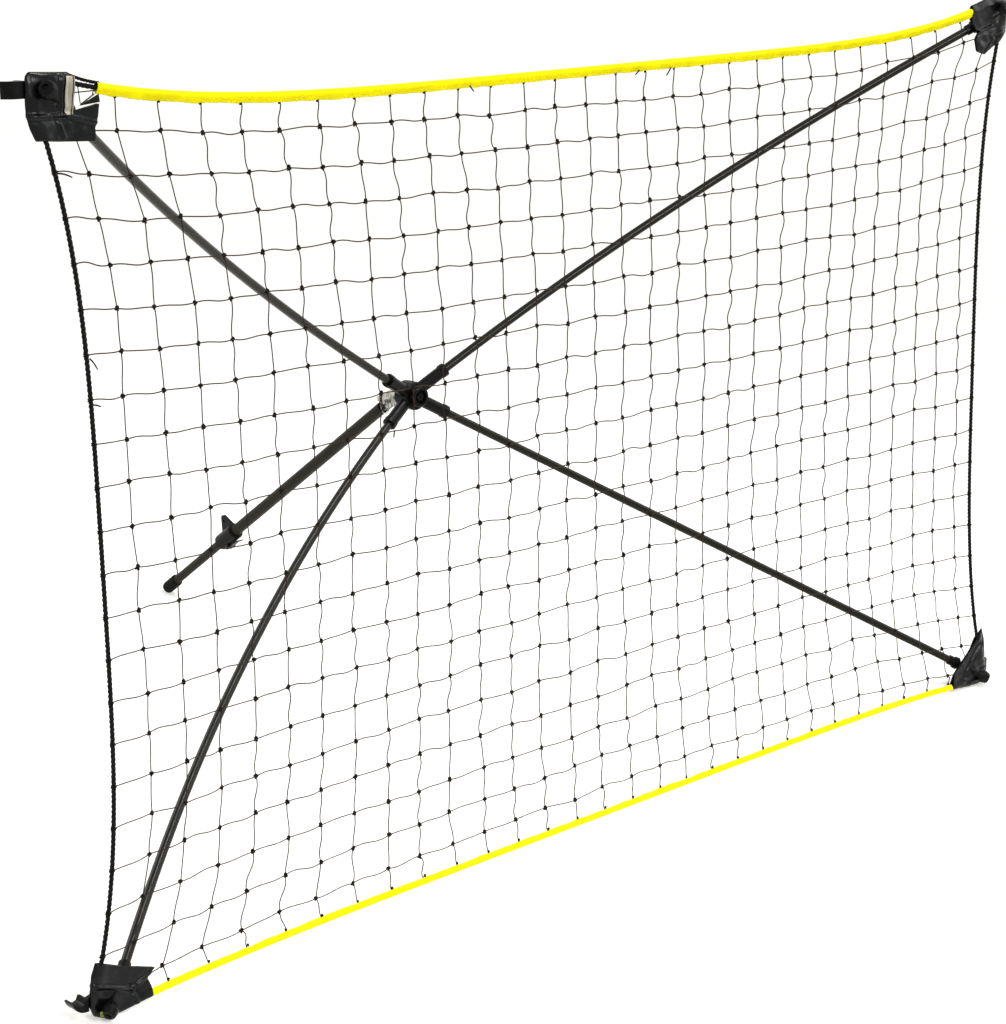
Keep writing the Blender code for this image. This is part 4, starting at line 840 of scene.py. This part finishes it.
def build_rope(context):
    """The laid rope all round the net, as one closed tube with a turning three-lobed outline."""
    edge = context.scene.rebound_edge
    route, step = spaced(rope_route(), 0.0016, closed=True)
    turns = round(len(route) * step / edge.lay)
    radii = strand_radii(edge.rope, 15, turns, len(route))
    rope = tube_piece(
        "laid_rope", at_depth(route)[None], radii, rope_material(context), closed=True, step=step)
    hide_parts("border_rope")


def rope_material(context):
    return shared("laid_polypropylene_rope", laid_polypropylene_rope, context.scene.rebound_colours)


def build_sleeve(context, level, end):
    """A tape sleeve: a teardrop section round the rope that closes in a flat hem on the net's side.

    At an angle a from the outer side, the half height is cos a and the half depth is
    sin a (1 + cos a) / 2 + a hem's thickness, and the hem waves with the stitches."""
    edge = context.scene.rebound_edge
    sides, rows = 24, 520
    x = np.linspace(-SLEEVE_END, SLEEVE_END, rows)
    path = at_depth(np.stack([x, level * band_z(level, x)], axis=-1))
    tangent, outward, _ = frames_along(path, False)
    outward = outward * np.sign(outward[:, 2:] * level)
    across = np.cross(tangent, outward)
    a = np.linspace(0.0, 2 * math.pi, sides, endpoint=False)
    draw = np.random.default_rng(20 + level)

    def wavering(count, size):
        marks = np.linspace(-SLEEVE_END, SLEEVE_END, count)
        return np.interp(x, marks, draw.normal(0.0, 1.0, count))[:, None] * size

    pucker = wavering(150, edge.pucker)
    lean = wavering(26, 0.0004)
    tall = edge.sleeve_top if level == TOP else edge.sleeve_bottom
    height = tall / 2 * np.cos(a) - 0.0004 + pucker * (a[None] > 2) * (a[None] < 4.3)
    depth = np.sin(a) * (0.0042 * ((1 + np.cos(a)) / 2) ** 0.75 + 0.0006) + lean * (1 - np.cos(a)) / 2
    points = path[:, None] + outward[:, None] * height[..., None] + across[:, None] * depth[..., None]
    faces, row, column = woven_faces(1, rows, sides, False, True)
    if level == TOP:
        faces = faces[:, ::-1]
        row, column = row[:, ::-1], column[:, ::-1]
    uv = np.stack([row * 2 * SLEEVE_END / rows, column / sides], axis=-1).reshape(-1, 2)
    # The darker yellow serves for the wear patches and for the painted shade of the hem
    material = shared(
        "woven_polyester_tape", woven_polyester_tape, tuple(context.scene.rebound_colours.tape),
        linear("#e2d400"))
    sleeve = make_piece(f"{end}_sleeve", points, faces.tolist(), material, uv)
    thickened(sleeve, TAPE_THICKNESS, -1.0)
    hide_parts(f"{end}_band")


def build_sleeves(context):
    for level, end in ((TOP, "top"), (BOTTOM, "bottom")):
        build_sleeve(context, level, end)


# The corner pockets

# Outline of each pocket in distances from the net's middle: inner lower corner first, round the
# outside, and back along the open edges. Heights are from the middle of the net's own height.
POCKETS = {
    "top_left": {
        "corner": (LEFT, TOP),
        "outline": (
            (0.7101, 0.4421), (0.7530, 0.4450), (0.7775, 0.4470), (0.7832, 0.4590), (0.7868, 0.4725),
            (0.7862, 0.4900), (0.7850, 0.5100), (0.7811, 0.5141), (0.7590, 0.5126), (0.7369, 0.5111),
            (0.7350, 0.5040), (0.7345, 0.4790), (0.7310, 0.4738), (0.7035, 0.4785), (0.7062, 0.4650),
            (0.7095, 0.4550)),
        "open_from": (0.7369, 0.5111),
        "middle": (0.7580, 0.4680),
        "creases": (
            (0.7850, 0.4714, 0.7420, 0.4702, 1.0), (0.7420, 0.4702, 0.7061, 0.4593, 0.8),
            (0.7560, 0.4800, 0.7450, 0.4480, 0.5), (0.7480, 0.4704, 0.7453, 0.5084, 0.7)),
    },
    "top_right": {
        "corner": (RIGHT, TOP),
        "outline": (
            (0.7224, 0.4410), (0.7385, 0.4360), (0.7539, 0.4440), (0.7720, 0.4520), (0.7850, 0.4640),
            (0.7866, 0.4900), (0.7850, 0.5100), (0.7811, 0.5141), (0.7590, 0.5126), (0.7369, 0.5111),
            (0.7055, 0.5030), (0.7062, 0.4830), (0.7234, 0.4680), (0.7160, 0.4576)),
        "open_from": (0.7055, 0.5030),
        "middle": (0.7570, 0.4720),
        "creases": (
            (0.7234, 0.4680, 0.7620, 0.4770, 1.0), (0.7560, 0.4560, 0.7400, 0.4420, 0.8),
            (0.7800, 0.4700, 0.7500, 0.4600, 0.6)),
    },
    "bottom_left": {
        "corner": (LEFT, BOTTOM),
        "outline": (
            (0.7001, 0.4459), (0.7400, 0.4315), (0.7732, 0.4173), (0.7800, 0.4300), (0.7830, 0.4500),
            (0.7842, 0.4655), (0.7802, 0.4762), (0.7680, 0.4830), (0.7450, 0.4826), (0.7218, 0.4800),
            (0.7049, 0.4778), (0.7066, 0.4654), (0.7105, 0.4545)),
        "open_from": (0.7049, 0.4778),
        "middle": (0.7530, 0.4560),
        "creases": (
            (0.7830, 0.4400, 0.7308, 0.4606, 1.0), (0.7308, 0.4606, 0.7070, 0.4500, 1.0),
            (0.7308, 0.4606, 0.7250, 0.4800, 0.6)),
    },
    "bottom_right": {
        "corner": (RIGHT, BOTTOM),
        "outline": (
            (0.7110, 0.4550), (0.7420, 0.4320), (0.7650, 0.4080), (0.7740, 0.3980), (0.7805, 0.4150),
            (0.7840, 0.4500), (0.7850, 0.4700), (0.7790, 0.4810), (0.7660, 0.4833), (0.7450, 0.4826),
            (0.7218, 0.4800), (0.7060, 0.4778), (0.7075, 0.4650)),
        "open_from": (0.7060, 0.4778),
        "middle": (0.7560, 0.4560),
        "creases": ((0.7700, 0.4200, 0.7350, 0.4620, 1.0), (0.7800, 0.4600, 0.7350, 0.4700, 0.8)),
    },
}


# The front and back sheets, as signs of the depth, with the start of each one's scatter
FRONT, BACK = -1, 1
FACE_SEEDS = {FRONT: 31, BACK: 47}
# Radius of the room that the rope takes in a pocket, and points round and across each sheet
ROPE_ROOM = 0.0043
POCKET_POINTS = 168
POCKET_RINGS = 30


def rounded_outline(corners, count):
    """An outline's corners resampled evenly and averaged with their neighbours, which rounds them."""
    points, _ = spaced(np.array(corners), 0.0001, closed=True)
    reach = 22
    wide = np.vstack([points[-reach:], points, points[:reach]])
    kernel = np.hanning(2 * reach + 3)[1:-1]
    kernel = kernel / kernel.sum()
    soft = np.stack([np.convolve(wide[:, axis], kernel, "valid") for axis in range(2)], axis=1)
    marks = np.linspace(0, len(soft), count, endpoint=False).astype(int)
    return soft[marks]


def pocket_heights(places, name, sizes, face):
    """Half thickness of a pocket: a tube round the rope, thinning to a lip, with creases and a bulge."""
    spot = POCKETS[name]
    level = spot["corner"][1]
    near = distance_to(places, rope_quarter(level) + (0.0, level * NET_DROP))
    tube = np.sqrt(np.maximum(ROPE_ROOM ** 2 - near ** 2, 0.0))
    height = np.maximum(tube, sizes.lip + 0.0026 * bell(near, 0.0085))
    # The bulge over the rod's neck
    hole = np.array([CORNER_X + 0.006, CORNER_Z[level] + level * NET_DROP + 0.004])
    height = height + 0.0026 * bell(np.linalg.norm(places - hole, axis=1), 0.0125)
    for x0, z0, x1, z1, share in spot["creases"]:
        off = distance_to(places, np.array([[x0, z0], [x1, z1]]))
        height = height + sizes.crease * share * (bell(off, 0.0018) - 0.35 * bell(off - 0.0042, 0.0025))
    draw = np.random.default_rng(FACE_SEEDS[face] + len(name))
    for _ in range(7):
        heading = draw.normal(size=2)
        heading /= np.linalg.norm(heading)
        wave = places @ heading * 2 * math.pi / draw.uniform(0.012, 0.034) + draw.uniform(0, 6.28)
        height = height + 0.00016 * np.sin(wave)
    return height


def build_pocket(context, name):
    """Two sheets of vinyl joined along the outside and open towards the net.

    A point of a sheet lies a share s of the way from the pocket's middle to its outline, and off
    the net's plane by the half thickness, which closes to nothing over the last part of the way
    where the sheets join and to a lip where they are open."""
    sizes, spot = context.scene.rebound_pockets, POCKETS[name]
    side, level = spot["corner"]
    count, rings = POCKET_POINTS, POCKET_RINGS
    outline = rounded_outline(spot["outline"], count)
    middle = np.array([spot["middle"]])
    share = np.linspace(0.0, 1.0, rings + 1)[1:] ** 0.85
    places = (middle + (outline[None] - middle) * share[:, None, None]).reshape(-1, 2)
    # The open edges run from open_from on to the first corner
    ends = np.array(spot["outline"])
    start = int(np.argmin(np.linalg.norm(outline - spot["open_from"], axis=1)))
    finish = int(np.argmin(np.linalg.norm(outline - ends[1 if level == TOP else 2], axis=1)))
    number = np.arange(count)
    open_edge = (number >= start) | (number <= finish)
    soft = np.convolve(np.r_[open_edge[-6:], open_edge, open_edge[:6]], np.ones(13) / 13, "valid")
    soft = np.clip(soft, 0.0, 1.0)
    closing = np.sqrt(np.clip(1.0 - share ** 16, 0.0, 1.0))[:, None]
    closing = np.append(closing * (1 - soft) + soft, 1.0)
    places = np.vstack([places, middle])
    rows = np.arange(rings * count).reshape(rings, count)
    heart = np.full(count, rings * count)
    points, faces = [], []
    for face in (FRONT, BACK):
        shift = len(points) * len(places)
        depth = face * pocket_heights(places, name, sizes, face) * closing
        points.append(at_depth(places * (side, level) - (0.0, NET_DROP), depth))
        ring = rows[0], np.roll(rows[0], -1)
        fans = np.stack([heart, *ring], axis=1)
        near, far = rows[:-1], rows[1:]
        quads = np.stack([near, far, np.roll(far, -1, axis=1), np.roll(near, -1, axis=1)], axis=-1)
        turn = 1 if (face == FRONT) == (side * level == 1) else -1
        faces += (fans[:, ::turn] + shift).tolist() + (quads.reshape(-1, 4)[:, ::turn] + shift).tolist()
    pocket = make_piece(f"vinyl_pocket_{name}", np.vstack(points), faces, pocket_material(context))
    shape = bmesh.new()
    shape.from_mesh(pocket.data)
    bmesh.ops.remove_doubles(shape, verts=shape.verts, dist=0.00002)
    shape.to_mesh(pocket.data)
    shape.free()
    thickened(pocket, sizes.wall, -1.0)
    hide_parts(f"pocket_{name}")


def pocket_material(context):
    return shared("calendered_pvc_sheet", calendered_pvc_sheet, context.scene.rebound_colours)


# Places in the net's frame: the strip of painted reflection on the top left pocket, and what shows in its
# open notch
FOLD_REFLECTION = (((-0.7416, 0.4868), (-0.7312, 0.4858)), ((-0.7444, 0.4497), (-0.7340, 0.4489)))
NOTCH_FLAP = ((-0.7248, 0.4562), (-0.7017, 0.4662), (-0.7008, 0.4582))
NOTCH_CORDS = {
    "notch_cord_level": ((-0.7330, 0.4696), (-0.7080, 0.4699), 0.0006),
    "notch_cord_left": ((-0.7270, 0.4780), (-0.7250, 0.4587), 0.0005),
    "notch_cord_right": ((-0.7079, 0.4719), (-0.7106, 0.4663), 0.0005),
}
NOTCH_STRAND = ((-0.7400, 0.4886), (-0.7012, 0.4765), 0.0038)
NOTCH_WELT = ((-0.7247, 0.4575), (-0.7085, 0.4666), 0.0009)
NOTCH_DEPTH = 0.001
TAPE_TAIL = (((-0.7800, -0.4880), (-0.7690, -0.4900)), ((-0.7790, -0.4950), (-0.7700, -0.4985)))


def patch(name, corners, depths, material, thickness):
    """A small sheet between two edges: bilinear in its corners, at the depths of its places."""
    columns, rows = 9, 31
    across, along = np.meshgrid(np.linspace(0.0, 1.0, columns), np.linspace(0.0, 1.0, rows))
    (a, b), (c, d) = np.array(corners)
    share, rise = across[..., None], along[..., None]
    flat = (a * (1 - share) + b * share) * (1 - rise) + (c * (1 - share) + d * share) * rise
    points = at_depth(flat, depths(flat.reshape(-1, 2)).reshape(across.shape))
    faces, row, column = woven_faces(1, rows, columns, False, False)
    uv = np.stack([column / (columns - 1), row / (rows - 1)], axis=-1).reshape(-1, 2)
    sheet = make_piece(name, points, faces.tolist(), material, uv)
    thickened(sheet, thickness, 1.0)
    size = (np.linalg.norm((b - a + d - c) / 2), np.linalg.norm((c - a + d - b) / 2))
    return sheet, tuple(float(max(side, 0.01)) for side in size)


def build_notch(context):
    """The strip of painted reflection on the top left pocket, and the strands, flap and welt in the pocket's
    notch.
    """
    sizes = context.scene.rebound_pockets
    reflection_pvc, twine = clear_pvc_tape("clear_pvc_tape"), tarred_nylon_twine()

    def on_front(flat):
        return -pocket_heights(np.abs(flat) + (0.0, NET_DROP), "top_left", sizes, FRONT) - 0.0007

    fold_reflection, flat = patch("pocket_fold_reflection", FOLD_REFLECTION, on_front, reflection_pvc, 0.0004)
    left, high, low = NOTCH_FLAP
    flap, _ = patch("notch_flap", ((left, high), (left, low)), lambda flat: np.full(len(flat), NOTCH_DEPTH),
                    pocket_material(context), 0.0009)
    start, end, diameter = NOTCH_STRAND
    run = straight(start, end, 40)
    run[:, 1] -= 0.0012 * np.sin(math.pi * np.linspace(0.0, 1.0, 40))
    radii = strand_radii(diameter, 12, 4, 40)
    tube_piece("notch_strand", at_depth(run)[None], radii, rope_material(context))
    for piece, (start, end, radius) in {**NOTCH_CORDS, "notch_welt": NOTCH_WELT}.items():
        run = at_depth(straight(start, end, 9), -NOTCH_DEPTH)
        material = reflection_pvc if piece == "notch_welt" else twine
        tube_piece(piece, run[None], np.full((1, 8), radius), material)


def build_tape_tail(_):
    """The end of the bottom sleeve's tape, tucked under the corner and left sticking out, in the colours of
    the tape in shade: painted shade.
    """
    # Painted shade: dull olive colours stand in for the yellow tape lying in shadow
    shaded_tape = woven_polyester_tape("shaded_polyester_tape", linear("#8f9a3c"), linear("#5d6430"))
    tail, flat = patch(
        "tape_tail", TAPE_TAIL, lambda flat: -0.013 - 0.25 * (flat[:, 1] + 0.49), shaded_tape,
        TAPE_THICKNESS)


def build_pockets(context):
    for name in POCKETS:
        build_pocket(context, name)


# The rods

def build_rod(context, node):
    """A smooth round tube on the model's rod.

    Off its longest direction, the rod's middle line is a polynomial of the distance along it,
    fitted by least squares to the model's own points, which lie evenly round that line."""
    points = in_net(np.unique(node_points(node).round(6), axis=0))
    middle = points.mean(axis=0)
    _, axes = np.linalg.eigh((points - middle).T @ (points - middle))
    local = (points - middle) @ axes
    marks = np.linspace(local[:, 2].min(), local[:, 2].max(), 90)
    scale = np.abs(marks).max()
    terms = polynomial.polyfit(local[:, 2] / scale, local[:, :2], 7)
    offsets = polynomial.polyval(marks / scale, terms).T
    path = middle + np.column_stack([offsets, marks]) @ axes.T
    material = shared("pultruded_fibreglass", pultruded_fibreglass, context.scene.rebound_colours)
    radius = np.full((1, 20), context.scene.rebound_edge.rod / 2)
    rod = tube_piece(f"round_{node}", path[None], radius, material)
    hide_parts(node)


def build_rods(context):
    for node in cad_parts:
        if node.startswith("rod_"):
            build_rod(context, node)


# Finishes of the model's own nodes, by how the nodes' names start

FINISHES = (
    (moulded_polyamide, (
        "corner_hook_", "end_knob_", "hub_body", "leg_top_plug", "tube_guide", "clamp_collar", "cam_lever")),
    (powder_coated_steel, ("leg_upper_tube", "leg_lower_tube")),
    (zinc_plated_steel, ("leg_bracket", "leg_pin", "split_ring", "stop_pin", "lever_pin")),
    (blackened_steel, ("hub_bolt", "hub_washer", "hub_nut")),
    (moulded_rubber, ("foot_cap",)),
)


def build_finishes(context):
    for make, starts in FINISHES:
        material = make(make.__name__, context.scene.rebound_colours)
        for name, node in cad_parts.items():
            if name.startswith(starts):
                materials = node.data.materials
                for index in range(len(materials)):
                    materials[index] = material
                if not materials:
                    materials.append(material)


# The stage

FLOOR_REACH = 40.0
# Half a millimetre under the feet, so that the two don't flicker
FLOOR_LEVEL = -0.0005
# Name, place, size and power of each lamp; all look at the middle of the net
LAMPS = (
    ("key_light", (-0.95, -3.3, 2.45), 1.0, 75.0),
    ("fill_light", (3.0, -1.6, 2.2), 2.4, 40.0),
    ("top_light", (0.55, -0.9, 3.4), 0.6, 45.0),
    ("back_light", (-1.4, 3.0, 2.3), 2.4, 50.0),
)
LAMP_AIM = (0.0, 0.0, 0.5)
WORLD_LIGHT = 0.38


def build_stage(context):
    places = np.linspace(-FLOOR_REACH, FLOOR_REACH, 9)
    x, y = np.meshgrid(places, places, indexing="ij")
    points = np.stack([x, y, np.full(x.shape, FLOOR_LEVEL)], axis=-1)
    faces, _, _ = woven_faces(1, 9, 9, False, False)
    mesh = bpy.data.meshes.new("floor")
    mesh.from_pydata(points.reshape(-1, 3).tolist(), [], faces.tolist())
    mesh.materials.append(painted_screed("painted_screed", context.scene.rebound_colours))
    floor = bpy.data.objects.new("floor", mesh)
    context.scene.collection.objects.link(floor)

    world = bpy.data.worlds.new("studio")
    context.scene.world = world
    world.use_nodes = True
    tree = world.node_tree
    seen = ray_kinds(tree, "Is Camera Ray", "Is Transmission Ray", "Is Glossy Ray")
    background = tree.nodes["Background"]
    background.inputs["Color"].default_value = (1.0, 1.0, 1.0, 1.0)
    tree.links.new(steps(tree, seen, 0.0, 1.0, WORLD_LIGHT, 1.0), background.inputs["Strength"])

    for name, place, size, power in LAMPS:
        light = bpy.data.lights.new(name, "AREA")
        light.size = size
        light.energy = power
        lamp = bpy.data.objects.new(name, light)
        lamp.location = place
        lamp.rotation_mode = "QUATERNION"
        lamp.rotation_quaternion = (Vector(LAMP_AIM) - Vector(place)).to_track_quat("-Z", "Y")
        context.scene.collection.objects.link(lamp)


def build_camera(context):
    """The camera of the photograph: its axes were worked out in the net's frame."""
    right, down = unit(np.array(CAMERA_RIGHT)), np.array(CAMERA_DOWN)
    down = unit(down - right * (down @ right))
    data = bpy.data.cameras.new("camera")
    data.sensor_width = SENSOR
    data.lens = LENS
    data.clip_end = 50.0
    camera = bpy.data.objects.new("camera", data)
    matrix = np.eye(4)
    matrix[:3, :3] = NET_TURN @ np.stack([right, -down, np.cross(down, right)], axis=1)
    matrix[:3, 3] = in_room(np.array(CAMERA_PLACE))
    camera.matrix_world = Matrix(matrix.tolist())
    context.scene.collection.objects.link(camera)
    context.scene.camera = camera
    context.scene.view_settings.view_transform = "Standard"


# Operators, panel and registration

class Step:
    """What the steps share: running one calls its builders in turn."""
    builders = ()

    def execute(self, context):
        for build in self.builders:
            build(context)
        return {"FINISHED"}


class REBOUND_OT_camera(Step, bpy.types.Operator):
    """Put the camera where the photograph was taken from"""
    bl_idname = "rebound.camera"
    bl_label = "Camera"
    builders = (build_camera,)


class REBOUND_OT_net(Step, bpy.types.Operator):
    """Knot the net and hitch it to its edge"""
    bl_idname = "rebound.net"
    bl_label = "Net"
    builders = (build_net, build_tails)


class REBOUND_OT_rope(Step, bpy.types.Operator):
    """Lay the rope round the net"""
    bl_idname = "rebound.rope"
    bl_label = "Rope"
    builders = (build_rope,)


class REBOUND_OT_sleeves(Step, bpy.types.Operator):
    """Sew the tape sleeves round the rope"""
    bl_idname = "rebound.sleeves"
    bl_label = "Sleeves"
    builders = (build_sleeves,)


class REBOUND_OT_pockets(Step, bpy.types.Operator):
    """Fold the vinyl pockets over the corners"""
    bl_idname = "rebound.pockets"
    bl_label = "Pockets"
    builders = (build_pockets, build_notch, build_tape_tail)


class REBOUND_OT_rods(Step, bpy.types.Operator):
    """Draw the four bowed rods round and smooth"""
    bl_idname = "rebound.rods"
    bl_label = "Rods"
    builders = (build_rods,)


class REBOUND_OT_finishes(Step, bpy.types.Operator):
    """Give the hub, leg and fittings their finishes"""
    bl_idname = "rebound.finishes"
    bl_label = "Finishes"
    builders = (build_finishes,)


class REBOUND_OT_stage(Step, bpy.types.Operator):
    """Set the floor, the background and the lights"""
    bl_idname = "rebound.stage"
    bl_label = "Stage"
    builders = (build_stage,)


class REBOUND_PT_panel(bpy.types.Panel):
    """Lists the sizes, the colours and the steps"""
    bl_label = "Rebound net"
    bl_space_type = "VIEW_3D"
    bl_region_type = "UI"
    bl_category = "Rebound net"

    def draw(self, context):
        for group in ("rebound_net", "rebound_edge", "rebound_pockets", "rebound_colours"):
            box = self.layout.box()
            settings = getattr(context.scene, group)
            for key in settings.__annotations__:
                box.prop(settings, key)
        for operator in OPERATORS:
            self.layout.operator(operator.bl_idname)


GROUPS = {
    "rebound_net": NetSizes,
    "rebound_edge": EdgeSizes,
    "rebound_pockets": PocketSizes,
    "rebound_colours": FinishColours,
}
OPERATORS = (
    REBOUND_OT_camera, REBOUND_OT_net, REBOUND_OT_rope, REBOUND_OT_sleeves, REBOUND_OT_pockets,
    REBOUND_OT_rods, REBOUND_OT_finishes, REBOUND_OT_stage,
)


def register():
    for group in (*GROUPS.values(), *OPERATORS, REBOUND_PT_panel):
        bpy.utils.register_class(group)
    for name, group in GROUPS.items():
        setattr(bpy.types.Scene, name, PointerProperty(type=group))


def unregister():
    for name in GROUPS:
        delattr(bpy.types.Scene, name)
    for group in (REBOUND_PT_panel, *OPERATORS[::-1], *GROUPS.values()):
        bpy.utils.unregister_class(group)


def main():
    register()
    for operator in OPERATORS:
        getattr(bpy.ops.rebound, operator.bl_idname.split(".")[1])()


if __name__ == "__main__":
    main()
